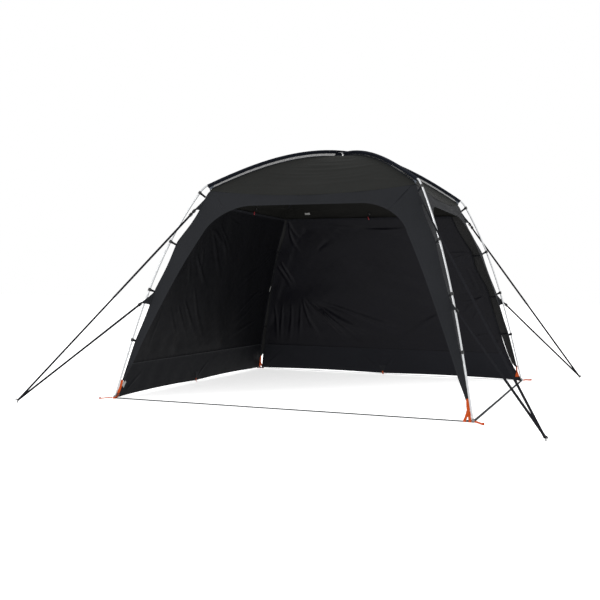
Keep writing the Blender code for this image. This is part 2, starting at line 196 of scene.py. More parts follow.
def uvParts(add, layer):
    uv = add("UVMap", settings={"uv_map": layer})
    return [add("SeparateXYZ", out=i, Vector=uv) for i in (0, 1)]


def noise(add, scale, detail, **more):
    return add("TexNoise", Vector=add("TexCoord", out=3), Scale=scale, Detail=detail, **more)


def tinted(add, color, low, high, factor):
    a = (*[c * low for c in color], 1)
    b = (*[c * high for c in color], 1)
    return add("Mix", out=2, settings={"data_type": "RGBA"}, Factor=factor, i6=a, i7=b)


weave = {"pitch": 0.0013, "height": 0.00007, "hem": 0.0142, "stitchPitch": 0.0042, "stitchShare": 0.68,
         "stitchWidth": 0.0008, "stitchRows": (0.004, 0.0105)}


def clothMaterial(name, color, roughness, wrinkle=0.0022, stitch=1.7, **sockets):
    material, add, sums, plug = startMaterial(name, color, roughness, **sockets)
    x, y = uvParts(add, "cloth")
    k = 2 * math.pi / weave["pitch"]
    threads = sums("MULTIPLY", sums("SINE", sums("MULTIPLY", x, k)), sums("SINE", sums("MULTIPLY", y, k)))
    along, inset = uvParts(add, "seam")
    beat = sums("FRACT", sums("DIVIDE", along, weave["stitchPitch"]))
    dash = sums("LESS_THAN", beat, weave["stitchShare"])
    rows = [sums("COMPARE", inset, row, weave["stitchWidth"] / 2) for row in weave["stitchRows"]]
    line = sums("MAXIMUM", *rows)
    thread = sums("MULTIPLY", dash, line)
    folded = sums("LESS_THAN", inset, weave["hem"])
    broad = noise(add, 2.2, 3.0)
    fine = noise(add, 24.0, 4.0, Roughness=0.6)
    soft = noise(add, 5.5, 5.0, Roughness=0.52, Distortion=0.35)
    tone = sums("MULTIPLY_ADD", fine, 0.35, sums("MULTIPLY", broad, 0.65))
    worn = tinted(add, color, 0.72, 1.28, tone)
    sewn = (*[c * stitch for c in color], 1)
    plug(add("Mix", out=2, settings={"data_type": "RGBA"}, Factor=thread, i6=worn, i7=sewn), "Base Color")
    plug(sums("MULTIPLY_ADD", fine, 0.16, roughness - 0.08), "Roughness")
    bump = add("Bump", Strength=0.7, Distance=wrinkle, Height=soft)
    raised = sums("MULTIPLY_ADD", thread, 0.5, sums("MULTIPLY", folded, 0.5))
    bump = add("Bump", Strength=0.6, Distance=0.0008, Height=raised, Normal=bump)
    bump = add("Bump", Strength=0.5, Distance=weave["height"], Height=threads, Normal=bump)
    plug(bump, "Normal")
    return material


def webbingMaterial(name, color, roughness=0.78):
    material, add, sums, plug = startMaterial(name, color, roughness, **dull(0.04))
    x, y = uvParts(add, "cloth")
    ribs = sums("SINE", sums("MULTIPLY", y, 2 * math.pi / 0.0024))
    picks = sums("SINE", sums("MULTIPLY_ADD", x, 2 * math.pi / 0.0018, sums("MULTIPLY", ribs, 1.5)))
    grain = noise(add, 60.0, 3.0)
    both = sums("MULTIPLY_ADD", picks, 0.3, sums("MULTIPLY_ADD", ribs, 0.2, grain))
    plug(tinted(add, color, 0.7, 1.3, both), "Base Color")
    plug(add("Bump", Strength=0.6, Distance=0.0003, Height=both), "Normal")
    return material


def metalMaterial(name, color, roughness, scratch=0.06):
    material, add, sums, plug = startMaterial(name, color, roughness, Metallic=0.92)
    x, y = uvParts(add, "cloth")
    lines = add("CombineXYZ", X=sums("MULTIPLY", x, 6.0), Y=sums("MULTIPLY", y, 900.0))
    brushed = add("TexNoise", Vector=lines, Scale=1.0, Detail=4.0)
    tone = sums("MULTIPLY_ADD", brushed, 0.5, sums("MULTIPLY", noise(add, 9.0, 3.0), 0.5))
    plug(tinted(add, color, 0.9, 1.08, tone), "Base Color")
    plug(sums("MULTIPLY_ADD", brushed, scratch * 2, roughness - scratch), "Roughness")
    plug(add("Bump", Strength=0.15, Distance=0.0001, Height=brushed), "Normal")
    return material


def plasticMaterial(name, color, roughness=0.42):
    material, add, sums, plug = startMaterial(name, color, roughness)
    broad = noise(add, 35.0, 3.0)
    plug(tinted(add, color, 0.85, 1.2, broad), "Base Color")
    plug(sums("MULTIPLY_ADD", broad, 0.14, roughness - 0.07), "Roughness")
    plug(add("Bump", Strength=0.25, Distance=0.0002, Height=noise(add, 420.0, 2.0)), "Normal")
    return material


def netMaterial(name, color, pitch=0.0016):  # see-through between its threads
    material, add, sums, plug = startMaterial(name, color, 0.7, **dull(0.1))
    x, y = uvParts(add, "cloth")
    slants = [sums("MULTIPLY", sums(way, x, y), math.pi / pitch) for way in ("ADD", "SUBTRACT")]
    hole = sums("MINIMUM", *[sums("ABSOLUTE", sums("SINE", slant)) for slant in slants])
    cover = sums("MULTIPLY_ADD", hole, -0.75, 0.84)
    plug(sums("MAXIMUM", cover, 0.02), "Alpha")
    plug(tinted(add, color, 0.85, 1.15, noise(add, 30.0, 3.0)), "Base Color")
    plug(add("Bump", Strength=0.5, Distance=0.0003, Height=hole), "Normal")
    return material


blackCloth = clothMaterial("side cloth outside", (0.0150, 0.0158, 0.0178), 0.62, **dull(0.03))
# the roof cloth's own colour, made lighter and warmer than the side cloth: painted sheen
roofClothWithSheen = clothMaterial("roof cloth outside, painted sheen", (0.0170, 0.0175, 0.0166), 0.62, **dull(0.014))
insideCloth = clothMaterial("cloth inside", (0.0088, 0.0087, 0.0080), 0.66, **dull(0.04))
# the corner panels' inside is a lighter copy of the inside cloth: painted light
cornerInsideLit = clothMaterial("corner cloth inside, painted light", (0.0205, 0.0205, 0.0205), 0.66, **dull(0.05))
# the two walls are one cloth: the left wall's darker colour is painted shade, the back wall's bluer colour
# is painted sheen
leftWallClothShaded = clothMaterial("left wall cloth, painted shade", (0.0043, 0.0044, 0.0053), 0.52, wrinkle=0.003, **dull(0.05))
backWallClothSheen = clothMaterial("back wall cloth, painted sheen", (0.0044, 0.0043, 0.0064), 0.42, wrinkle=0.003, **dull(0.11))
# the two skirts are one cloth: the left skirt's darker colour is painted shade, the back skirt's lighter
# colour is painted light
leftSkirtClothShaded = clothMaterial("left skirt cloth, painted shade", (0.0056, 0.0060, 0.0074), 0.6, **dull(0.05))
backSkirtClothLit = clothMaterial("back skirt cloth, painted light", (0.0088, 0.0092, 0.0118), 0.58, **dull(0.07))
sleeveCloth = clothMaterial("sleeve cloth", (0.0090, 0.0105, 0.0150), 0.62, wrinkle=0.001, **dull(0.03))
gussetCloth = clothMaterial("gusset cloth", (0.075, 0.085, 0.10), 0.7, **dull(0.05))
# lighter than the black webbing and used on the left wall's seam only: a painted highlight along the seam
seamHighlightTape = clothMaterial("seam tape, painted highlight", (0.0190, 0.0200, 0.0220), 0.6, **dull(0.05))
netCloth = netMaterial("net", (0.030, 0.029, 0.026))
blackWebbing = webbingMaterial("black webbing", (0.0100, 0.0103, 0.0122))
greyWebbing = webbingMaterial("ground webbing", (0.040, 0.045, 0.048))
orangeWebbing = webbingMaterial("orange webbing", (0.42, 0.066, 0.0135))
poleMetal = metalMaterial("pole alloy", (0.54, 0.55, 0.56), 0.34)
stakeMetal = metalMaterial("stake steel", (0.030, 0.030, 0.032), 0.5)
blackPlastic = plasticMaterial("black plastic", (0.006, 0.006, 0.0065))
greyRubber = plasticMaterial("grey rubber", (0.16, 0.165, 0.17), 0.7)
redPlastic = plasticMaterial("red plastic", (0.24, 0.008, 0.014))
paleLabel = plasticMaterial("blank label", (0.26, 0.26, 0.25), 0.6)
print("finishes made")


# meshes

def placeMesh(name, mesh, sharp):
    mesh.shade_smooth()
    mesh.set_sharp_from_angle(angle=math.radians(sharp))
    thing = bpy.data.objects.new(name, mesh)
    bpy.context.scene.collection.objects.link(thing)
    return thing


def makeMesh(name, points, faces, uvs, materials, zones=None, turns=0, sharp=50):
    mesh = bpy.data.meshes.new(name)
    mesh.from_pydata(turned(points, turns).tolist(), [], faces)
    for material in materials:
        mesh.materials.append(material)
    if zones is not None:
        mesh.polygons.foreach_set("material_index", np.asarray(zones, np.int32))
    corner = np.empty(len(mesh.loops), np.int32)
    mesh.loops.foreach_get("vertex_index", corner)
    for layer, values in uvs.items():
        new = mesh.uv_layers.new(name=layer)
        new.data.foreach_set("uv", np.asarray(values)[corner].astype(np.float32).ravel())
    return placeMesh(name, mesh, sharp)


def unit(v):
    return v / np.maximum(np.linalg.norm(v, axis=-1, keepdims=True), 1e-12)


def outward(grid):  # square to a sheet, on its outer side
    return unit(np.cross(np.gradient(grid, axis=1), np.gradient(grid, axis=0)))


def runLengths(grid, axis):
    steps = np.linalg.norm(np.diff(grid, axis=axis), axis=2)
    start = np.zeros_like(np.take(steps, [0], axis=axis))
    return np.cumsum(np.concatenate([start, steps], axis=axis), axis=axis)


def edgeFactor(edge, inward):  # how much a slanted edge shortens the distance to it
    return np.linalg.norm(np.cross(unit(np.gradient(edge, axis=0)), unit(inward)), axis=1)


def seamCoordinates(grid):  # how far along the nearest sewn edge, and how far in from it
    rise, across = runLengths(grid, 0), runLengths(grid, 1)
    left = edgeFactor(grid[:, 0], grid[:, 1] - grid[:, 0])[:, None]
    right = edgeFactor(grid[:, -1], grid[:, -2] - grid[:, -1])[:, None]
    low = edgeFactor(grid[0], grid[1] - grid[0])[None]
    high = edgeFactor(grid[-1], grid[-2] - grid[-1])[None]
    fromTop, fromRight = rise[-1:] - rise, across[:, -1:] - across
    gaps = np.stack([rise * low, fromTop * high, across * left, fromRight * right])
    nearest = gaps.argmin(axis=0)
    return np.stack([np.where(nearest < 2, across, rise), gaps.min(axis=0)], axis=-1)


def clothSheet(name, grid, materials, thick, zones=None, turns=0):
    # a closed sheet on a grid of rows and columns, its outside where columns x rows points
    rows, columns = grid.shape[:2]
    toFace = outward(grid) * np.broadcast_to(thick, (rows, columns))[..., None] / 2
    points = np.concatenate([(grid + toFace).reshape(-1, 3), (grid - toFace).reshape(-1, 3)])
    count = rows * columns
    index = np.arange(count).reshape(rows, columns)
    quads = np.stack([index[:-1, :-1], index[:-1, 1:], index[1:, 1:], index[1:, :-1]], axis=-1)
    quads = quads.reshape(-1, 4)
    rim = np.concatenate([index[0, :], index[1:, -1], index[-1, -2::-1], index[-2:0:-1, 0]])
    after = np.roll(rim, -1)
    edge = np.stack([after, rim, rim + count, after + count], axis=-1)
    faces = np.concatenate([quads, quads[:, ::-1] + count, edge])
    zone = np.zeros(len(quads), int) if zones is None else np.asarray(zones).ravel()
    zones = np.concatenate([zone * 2, zone * 2 + 1, np.zeros(len(edge), int)])
    metric = np.stack([runLengths(grid, 1), runLengths(grid, 0)], axis=-1).reshape(-1, 2)
    seams = seamCoordinates(grid).reshape(-1, 2)
    uvs = {"cloth": np.tile(metric, (2, 1)), "seam": np.tile(seams, (2, 1))}
    return makeMesh(name, points, faces.tolist(), uvs, materials, zones, turns)


def ringsAlong(path, side, sections):
    # sections are (sideways, upwards) points round the path, one set or one for each station
    ahead = unit(np.gradient(path, axis=0))
    side = np.broadcast_to(np.asarray(side, float), path.shape)
    side = unit(side - (side * ahead).sum(1, keepdims=True) * ahead)
    lift = np.cross(ahead, side)
    sections = np.asarray(sections, float)
    if sections.ndim == 2:
        sections = np.broadcast_to(sections, (len(path), *sections.shape))
    rings = path[:, None] + sections[..., :1] * side[:, None] + sections[..., 1:] * lift[:, None]
    return rings, sections[0]


def tubeFaces(index, inside=False):
    after = np.roll(index, -1, axis=1)
    faces = np.stack([index[:-1], after[:-1], after[1:], index[1:]], axis=-1).reshape(-1, 4)
    return faces[:, ::-1].tolist() if inside else faces.tolist()


def loftAlong(name, path, side, sections, materials, inner=None, sharp=50):
    path = np.asarray(path, float)
    rings, outline = ringsAlong(path, side, sections)
    rows, count = rings.shape[:2]
    index = np.arange(rows * count).reshape(rows, count)
    faces = tubeFaces(index)
    turn = np.linalg.norm(np.roll(outline, -1, axis=0) - outline, axis=1)
    turn = np.concatenate([[0], np.cumsum(turn)[:-1]])
    metric = np.stack(np.broadcast_arrays(runLengths(path[:, None], 0), turn[None]), axis=-1).reshape(-1, 2)
    points = rings.reshape(-1, 3)
    if inner is None:
        faces += [index[0][::-1].tolist(), index[-1].tolist()]
    else:
        hollow = ringsAlong(path, side, inner)[0]
        within = index + rows * count
        faces += tubeFaces(within, inside=True)
        for k, flip in ((0, 1), (-1, -1)):
            a, b = index[k], within[k]
            rim = np.stack([a, b, np.roll(b, -1), np.roll(a, -1)], axis=-1)
            faces += rim[:, ::flip].tolist()
        points = np.concatenate([points, hollow.reshape(-1, 3)])
        metric = np.tile(metric, (2, 1))
    uvs = {"cloth": metric, "seam": np.ones_like(metric)}
    return makeMesh(name, points, faces, uvs, materials, sharp=sharp)


def circle(radius, count=20):
    a = np.arange(count) * 2 * math.pi / count
    return np.stack([radius * np.cos(a), radius * np.sin(a)], axis=-1)


def flatBand(width, thick):  # a strap's section with eased edges
    w, t = width / 2, thick / 2
    return np.array([(-w, -t * 0.4), (-w + t, -t), (w - t, -t), (w, -t * 0.4),
                     (w, t * 0.4), (w - t, t), (-w + t, t), (-w, t * 0.4)])


def lathe(name, path, side, radii, materials, count=24):  # round, with a radius for each point
    sections = np.array([circle(r, count) for r in radii])
    return loftAlong(name, path, side, sections, materials, sharp=35)


def smoothRun(points, count):  # a smooth line through given points
    points = np.asarray(points, float)
    ends = np.concatenate([points[:1] * 2 - points[1:2], points, points[-1:] * 2 - points[-2:-1]])
    out = []
    for t in np.linspace(0, len(points) - 1, count):
        k = min(int(t), len(points) - 2)
        f = t - k
        a, b, c, d = ends[k:k + 4]
        out.append(0.5 * (2 * b + (c - a) * f + (2 * a - 5 * b + 4 * c - d) * f ** 2
                          + (3 * b - a - 3 * c + d) * f ** 3))
    return np.array(out)


def roundedBox(bm, size, place, bevel=0.0008):
    made = bmesh.ops.create_cube(bm, size=1, matrix=place @ Matrix.Diagonal((*size, 1)))
    edges = list({edge for vert in made["verts"] for edge in vert.link_edges})
    bmesh.ops.bevel(bm, geom=edges, offset=bevel, segments=2, affect="EDGES", profile=0.6)


def placeOn(origin, x, z):  # a frame with its x and z along these directions
    z = Vector(z).normalized()
    y = z.cross(Vector(x)).normalized()
    x = y.cross(z)
    return Matrix.Translation(Vector(origin)) @ Matrix((x, y, z)).transposed().to_4x4()


def fromBmesh(name, bm, materials):
    mesh = bpy.data.meshes.new(name)
    bm.to_mesh(mesh)
    bm.free()
    for layer in ("cloth", "seam"):
        mesh.uv_layers.new(name=layer)
    for material in materials:
        mesh.materials.append(material)
    return placeMesh(name, mesh, 40)


def joined(name, things):
    # one piece out of several meshes, in the order given
    keep = things[0]
    with bpy.context.temp_override(active_object=keep, selected_editable_objects=things, object=keep):
        bpy.ops.object.join()
    keep.name = name
    keep.data.name = name
    return keep


def ride(thing, slot=None, *nodes):
    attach(thing, "root")
    if nodes:
        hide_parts(*nodes)
    return thing


def makeStrap(name, path, wide, width, thick, material, slot, *nodes):  # flat, its width along "wide"
    return ride(loftAlong(name, path, wide, flatBand(width, thick), [material]), slot, *nodes)


# canopy

def shoulderPoint(t):  # on an opening's rounded shoulder: its height, and the panel's width there
    return opening["shoulder"] + opening["rise"] * math.sin(t), opening["end"] - opening["run"] * math.cos(t)


mitreStart = shoulderPoint(opening["mitre"])
mitreTop = cornerZ - 0.006


def flapWidth(z):  # how far a corner panel reaches from its corner edge at a height
    pinch = opening["pinch"] * (1 - ease(opening["tip"], opening["pinchTop"], z))
    straight = opening["base"] + opening["widen"] * z - pinch
    bent = np.clip((z - opening["shoulder"]) / opening["rise"], 0, math.sin(opening["mitre"]))
    curved = opening["end"] - opening["run"] * np.cos(np.arcsin(bent))
    lowZ, lowWidth = mitreStart
    share = (z - lowZ) / (mitreTop - lowZ)
    mitred = lowWidth + (opening["mitreTop"] - lowWidth) * share
    return np.where(z < opening["shoulder"], straight, np.where(z < lowZ, curved, mitred))


def panelWidth(z):  # the same, and never too narrow to share out
    return np.maximum(flapWidth(np.minimum(z, mitreTop)), 0.02)


scallops = (0.001, 0.007, 0.011, 0.024, 0.004)  # how deep, from the tip up, between the clips


def scallopDepth(z):  # how far the corner edge is drawn in between two clips
    stops = (opening["tip"], *clipHeights, cornerZ + 0.02)
    total = np.zeros_like(z)
    for low, high, depth in zip(stops, stops[1:], scallops):
        t = np.clip((z - low) / (high - low), 0, 1)
        total = total + depth * np.sin(math.pi * t) ** 1.2
    return total


def sideDepth(x, z):  # how far out the cloth of a side lies, at a place across it
    away = np.clip((clothOffset(z) - np.abs(x)) / panelWidth(z), 0, 1)
    return clothOffset(z) - scallopDepth(z) * (1 - away) ** 2


def flatSize(grid):  # the cut of a cloth before it hangs: width, length and area
    rise, across = runLengths(grid, 0)[-1].max(), runLengths(grid, 1)[:, -1].max()
    a, b = grid[1:, 1:] - grid[:-1, :-1], grid[1:, :-1] - grid[:-1, 1:]
    area = np.linalg.norm(np.cross(a, b), axis=2).sum() / 2
    return round(float(across), 3), round(float(rise), 3), round(float(area), 3)


def declareCloth(thing, grid):
    width, length, area = flatSize(grid)
    print(thing.name, "flat", width, length, "area", area)


roof = {"rows": 72, "columns": 97, "lap": (0.012, 0.008, 0.004), "lapOut": 0.0019, "thick": 0.0012,
        "top": 0.004, "sag": 0.0078, "folds": 15, "pullWidth": 0.028,
        "pulls": ((0.62, 0.10, 0.005), (0.5, 0.26, 0.004), (0.72, -0.02, 0.0035))}  # (reach, drop, height)


def roofGrid():
    top = solve(lambda e: belowArch(e, cloth["crease"])[0] - roof["top"], 0.001, 0.05)
    stations = eaveStation + (top - eaveStation) * np.linspace(0, 1, roof["rows"]) ** 0.9
    creaseLine = np.array([belowArch(e, cloth["crease"]) for e in stations])
    v = np.linspace(-1, 1, roof["columns"])
    e, z = creaseLine[:, :1], creaseLine[:, 1:]
    share = e / cornerE
    bulge = (clothOffset(seamHeight(v)) - cornerE)[None] * share ** 2
    sagging = cloth["sag"] * share ** 1.5 * (1 - v ** 2)[None]
    across = v[None] * (e - 0.0004)
    upper = np.stack(np.broadcast_arrays(across, -e - bulge, z - sagging), axis=-1)
    laps = []
    for depth in roof["lap"]:
        level = seamHeight(v) - depth
        laps.append(np.stack([v * cornerE, -clothOffset(level) - roof["lapOut"], level], axis=-1))
    return np.concatenate([np.array(laps), upper])


def roofWrinkles(grid, seed):
    # shallow folds that hang from arch to arch, and short pulls out of the eave's corners
    x, y = grid[..., 0], grid[..., 1]
    v = x / np.maximum(-y, 0.01)
    inward = np.clip((cornerE + y) / cornerE, 0, 1)  # 0 at the eave, 1 at the top
    edge = ease(0.0, 0.14, 1 - np.abs(v)) * ease(0.0, 0.10, inward)
    dice = np.random.RandomState(seed)
    sags = np.zeros_like(x)
    for k in range(roof["folds"]):
        level = 0.05 + 0.88 * (k + dice.uniform(-0.3, 0.3)) / roof["folds"]
        centre, spread = dice.uniform(-0.45, 0.45), dice.uniform(0.35, 0.8)
        line = level + 0.10 * (v - 0.4 * centre) ** 2 * (1 - level) + dice.uniform(-0.03, 0.03) * v
        q = (inward - line) / dice.uniform(0.016, 0.034)
        along = np.exp(-((v - centre) / spread) ** 2)
        sags = sags + dice.uniform(0.4, 1.0) * along * np.exp(-q ** 2) * (1 - 0.7 * q ** 2)
    broad = ripple(v, inward * 1.6, seed + 9, 0.8, 6) * 0.3
    folds = []
    for hand in (-1, 1):
        for reach, drop, height in roof["pulls"]:
            start, end = (hand * 0.93, -0.93), (hand * (0.93 - reach), -0.93 + drop)
            folds.append((*start, *end, height, roof["pullWidth"]))
    return edge * roof["sag"] * (sags + broad) + creases(x, y, folds) * ease(0, 0.05, inward)


def makeRoof(side, turns):
    grid = roofGrid()
    shaped = grid + outward(grid) * roofWrinkles(grid, 11 + turns)[..., None]
    thing = clothSheet("roof_cloth_" + side, shaped, [roofClothWithSheen, insideCloth], roof["thick"], turns=turns)
    declareCloth(thing, grid)
    return ride(thing, "roof_cloth", "roof_" + side)


band = {"columns": 121, "rows": 22, "hem": 0.016, "hemThick": 0.0024, "thick": 0.0012,
        "billow": 0.0045, "pucker": 0.0011, "hemWave": 0.0012, "levelWave": 0.0016}


def bandEdges():
    # the four edges of an eave band: its opening, its mitres and the eave seam
    angles = np.linspace(opening["mitre"], math.pi / 2, 40)
    left = np.array([shoulderPoint(t) for t in angles])
    left = np.stack([left[:, 1] - clothOffset(left[:, 0]), left[:, 0]], axis=-1)
    level = np.stack([np.linspace(left[-1, 0], 0, 40)[1:], np.full(39, left[-1, 1])], axis=-1)
    half = np.concatenate([left, level])
    low = np.concatenate([half, half[-2::-1] * (-1, 1)])
    run = np.concatenate([[0], np.cumsum(np.linalg.norm(np.diff(low, axis=0), axis=1))])
    even = np.linspace(0, run[-1], band["columns"])
    low = np.stack([np.interp(even, run, low[:, 0]), np.interp(even, run, low[:, 1])], axis=-1)
    endX = clothOffset(mitreTop) - opening["mitreTop"]
    topX = np.linspace(-endX, endX, band["columns"])
    topX = topX * 0.5 + low[:, 0] * endX / abs(low[0, 0]) * 0.5
    top = np.stack([topX, seamHeight(topX / cornerE) - 0.0015], axis=-1)
    return low, top


def bandGrid():
    low, top = bandEdges()
    # rows crowd at the hem and at the eave seam
    s = np.linspace(0, 1, band["rows"])
    s = s * 0.5 + 0.5 * (0.5 - 0.5 * np.cos(math.pi * s))
    flat = low[None] * (1 - s)[:, None, None] + top[None] * s[:, None, None]
    for column, sign in ((0, -1), (-1, 1)):
        z = low[column, 1] + (mitreTop - low[column, 1]) * s
        flat[:, column, 0] = sign * (clothOffset(z) - flapWidth(z) - 0.0005)
        flat[:, column, 1] = z
    x, z = flat[..., 0], flat[..., 1]
    return np.stack([x, -sideDepth(x, z), z], axis=-1)


def makeBand(side, turns):
    grid = bandGrid()
    x, z = grid[..., 0], grid[..., 2]
    fromHem, toSeam = z - grid[:1, :, 2], grid[-1:, :, 2] - z
    loose = ease(0, 0.05, fromHem) * ease(0, 0.03, toSeam)
    billow = ripple(x, z * 1.4, 31 + turns, 0.5) * band["billow"]
    pucker = ripple(x, z * 0.15, 41 + turns, 0.035, 6) * band["pucker"] * np.exp(-toSeam / 0.03)
    hemWave = ripple(x, z * 0, 51 + turns, 0.09, 5) * band["hemWave"] * np.exp(-fromHem / 0.03)
    level = ripple(x * 0.25, z * 2.2, 57 + turns, 0.16, 8) * band["levelWave"]
    shaped = grid.copy()
    shaped[..., 1] -= loose * (billow + level) + pucker + hemWave
    thick = np.where(fromHem < band["hem"], band["hemThick"], band["thick"])
    thing = clothSheet("eave_band_cloth_" + side, shaped, [blackCloth, insideCloth], thick, turns=turns)
    declareCloth(thing, grid)
    return ride(thing, "side_cloth", "eave_band_" + side)


cornerCloth = {"rows": 150, "hem": (0.0, 0.005, 0.011, 0.0140, 0.0165, 0.028), "hemWidth": 0.0143,
               "hemThick": 0.0024, "inner": 9, "thick": 0.0012, "lap": 0.009, "lapIn": 0.0017,
               "ripple": 0.0022, "paintedLightTop": 1.735, "backWiden": 0.017}
# (along, height, along, height, depth, width)
cornerFolds = ((0.05, 1.80, 0.13, 1.36, 0.0030, 0.013), (0.09, 1.76, 0.20, 1.40, 0.0030, 0.014),
               (0.03, 1.66, 0.09, 1.20, 0.0024, 0.012))


def cornerGrid(widen=0.0):
    # columns go from the opening's edge on the left side to the corner and on to the front's opening edge
    z = np.linspace(opening["tip"] - 0.004, mitreTop + 0.004, cornerCloth["rows"])
    below = np.minimum(z, mitreTop)
    width = flapWidth(below) + widen * ease(0.15, 0.2, z) * (1 - ease(0.2, 0.6, z))
    laps = ease(mitreStart[0], mitreStart[0] + 0.01, z)  # the seam under the eave band
    width = width + cornerCloth["lap"] * laps
    c, s = clothOffset(z), scallopDepth(z)
    hem = np.minimum(np.array(cornerCloth["hem"])[None] / width[:, None], 1)
    inner = np.linspace(0, 1, cornerCloth["inner"] + 1)[1:]
    inside = hem[:, -1:] + (1 - hem[:, -1:]) * inner[None] ** 1.1
    away = 1 - np.concatenate([hem, inside], axis=1)  # 1 at the opening's edge, 0 at the corner
    along = c[:, None] - s[:, None] * (1 - away) - width[:, None] * away
    depth = c[:, None] - s[:, None] * (1 - away) ** 2
    depth = depth - cornerCloth["lapIn"] * laps[:, None] * ease(0, 0.3, away)
    level = np.broadcast_to(z[:, None], along.shape)
    leftSide = np.stack([-depth, -along, level], axis=-1)
    front = np.stack([-along, -depth, level], axis=-1)[:, -2::-1]
    return np.concatenate([leftSide, front], axis=1), away


def makeCorner(corner, turns):
    grid, away = cornerGrid(cornerCloth["backWiden"] if "back" in corner else 0.0)
    z = grid[..., 2]
    both = np.concatenate([away, away[:, -2::-1]], axis=1)
    loose = both * (1 - both) * 4 * ease(opening["tip"], 0.6, z) * (1 - ease(1.6, 1.8, z))
    x = grid[..., 0] - grid[..., 1]
    waves = ripple(x * 0.8, z, 61 + turns, 0.22, 8) * cornerCloth["ripple"]
    folds = []
    for hand in (-1, 1):
        for high in clipHeights[:3]:  # short pulls that run out from each clip
            for rise in (0.09, -0.10):
                folds.append((hand * 0.006, high, hand * 0.10, high + rise, 0.0022, 0.012))
        folds += [(hand * a, b, hand * c, *rest) for a, b, c, *rest in cornerFolds]
    pulled = creases(x, z, folds) * both ** 0.5 * (1 - both ** 4)
    shaped = grid + outward(grid) * (loose * waves + pulled)[..., None]
    inset = (1 - both) * panelWidth(z)
    thick = np.where(inset < cornerCloth["hemWidth"], cornerCloth["hemThick"], cornerCloth["thick"])
    thick = np.where(z > mitreStart[0], cornerCloth["thick"], thick)
    # the lower part of the corner's inside takes the lighter copy, painted light; the part above the set
    # height keeps the plain inside cloth
    upperPart = z[:-1, :-1] > cornerCloth["paintedLightTop"]
    materials = [blackCloth, cornerInsideLit, blackCloth, insideCloth]
    thing = clothSheet("corner_cloth_" + corner, shaped, materials, thick, upperPart.astype(int), turns)
    declareCloth(thing, grid)
    return ride(thing, "side_cloth", "corner_" + corner)


wall = {"rows": 165, "columns": 271, "hem": 0.016, "top": 1.742, "inset": 0.0036, "coveredInset": 0.0032,
        "seam": 0.30, "thick": 0.001, "edgeThick": 0.002, "zip": 3, "zipProud": 0.0019, "zipThick": 0.0016,
        "slowWave": 0.008, "looseWave": 0.0022, "fineWave": 0.0005, "skirtWave": 0.0016, "seamRidge": 0.0035,
        "seamPucker": 0.0006, "topShadow": 0.007, "footPull": (0.017, 0.012, 0.006)}
# each wall takes its own copy of the wall and skirt cloths, darker on the left and lighter at the back:
# painted shade and painted light
wallCloths = {"left": (leftWallClothShaded, leftSkirtClothShaded), "back": (backWallClothSheen, backSkirtClothLit)}

# how far each upright edge of a wall stays from the corner edge: (height, gap), from the ground up
wallGaps = {
    "front left": ((0.0, 0.006), (0.25, 0.03), (1.74, 0.03)),
    "back left, left wall": ((0.0, 0.006), (0.2, 0.014), (1.74, 0.012)),
    "back left, back wall": ((0.0, 0.046), (0.18, 0.038), (0.41, 0.044), (0.71, 0.030), (0.95, 0.024),
                             (1.1, 0.018), (1.30, 0.022), (1.42, 0.034), (1.52, 0.038), (1.78, 0.024)),
    "back right": ((0.0, 0.0), (0.06, 0.006), (0.19, 0.044), (0.30, 0.066), (0.47, 0.081), (0.9, 0.082),
                   (1.03, 0.079), (1.21, 0.118), (1.33, 0.10), (1.5, 0.112), (1.74, 0.12)),
}
wallEnds = {"left": ("front left", "back left, left wall"), "back": ("back left, back wall", "back right")}

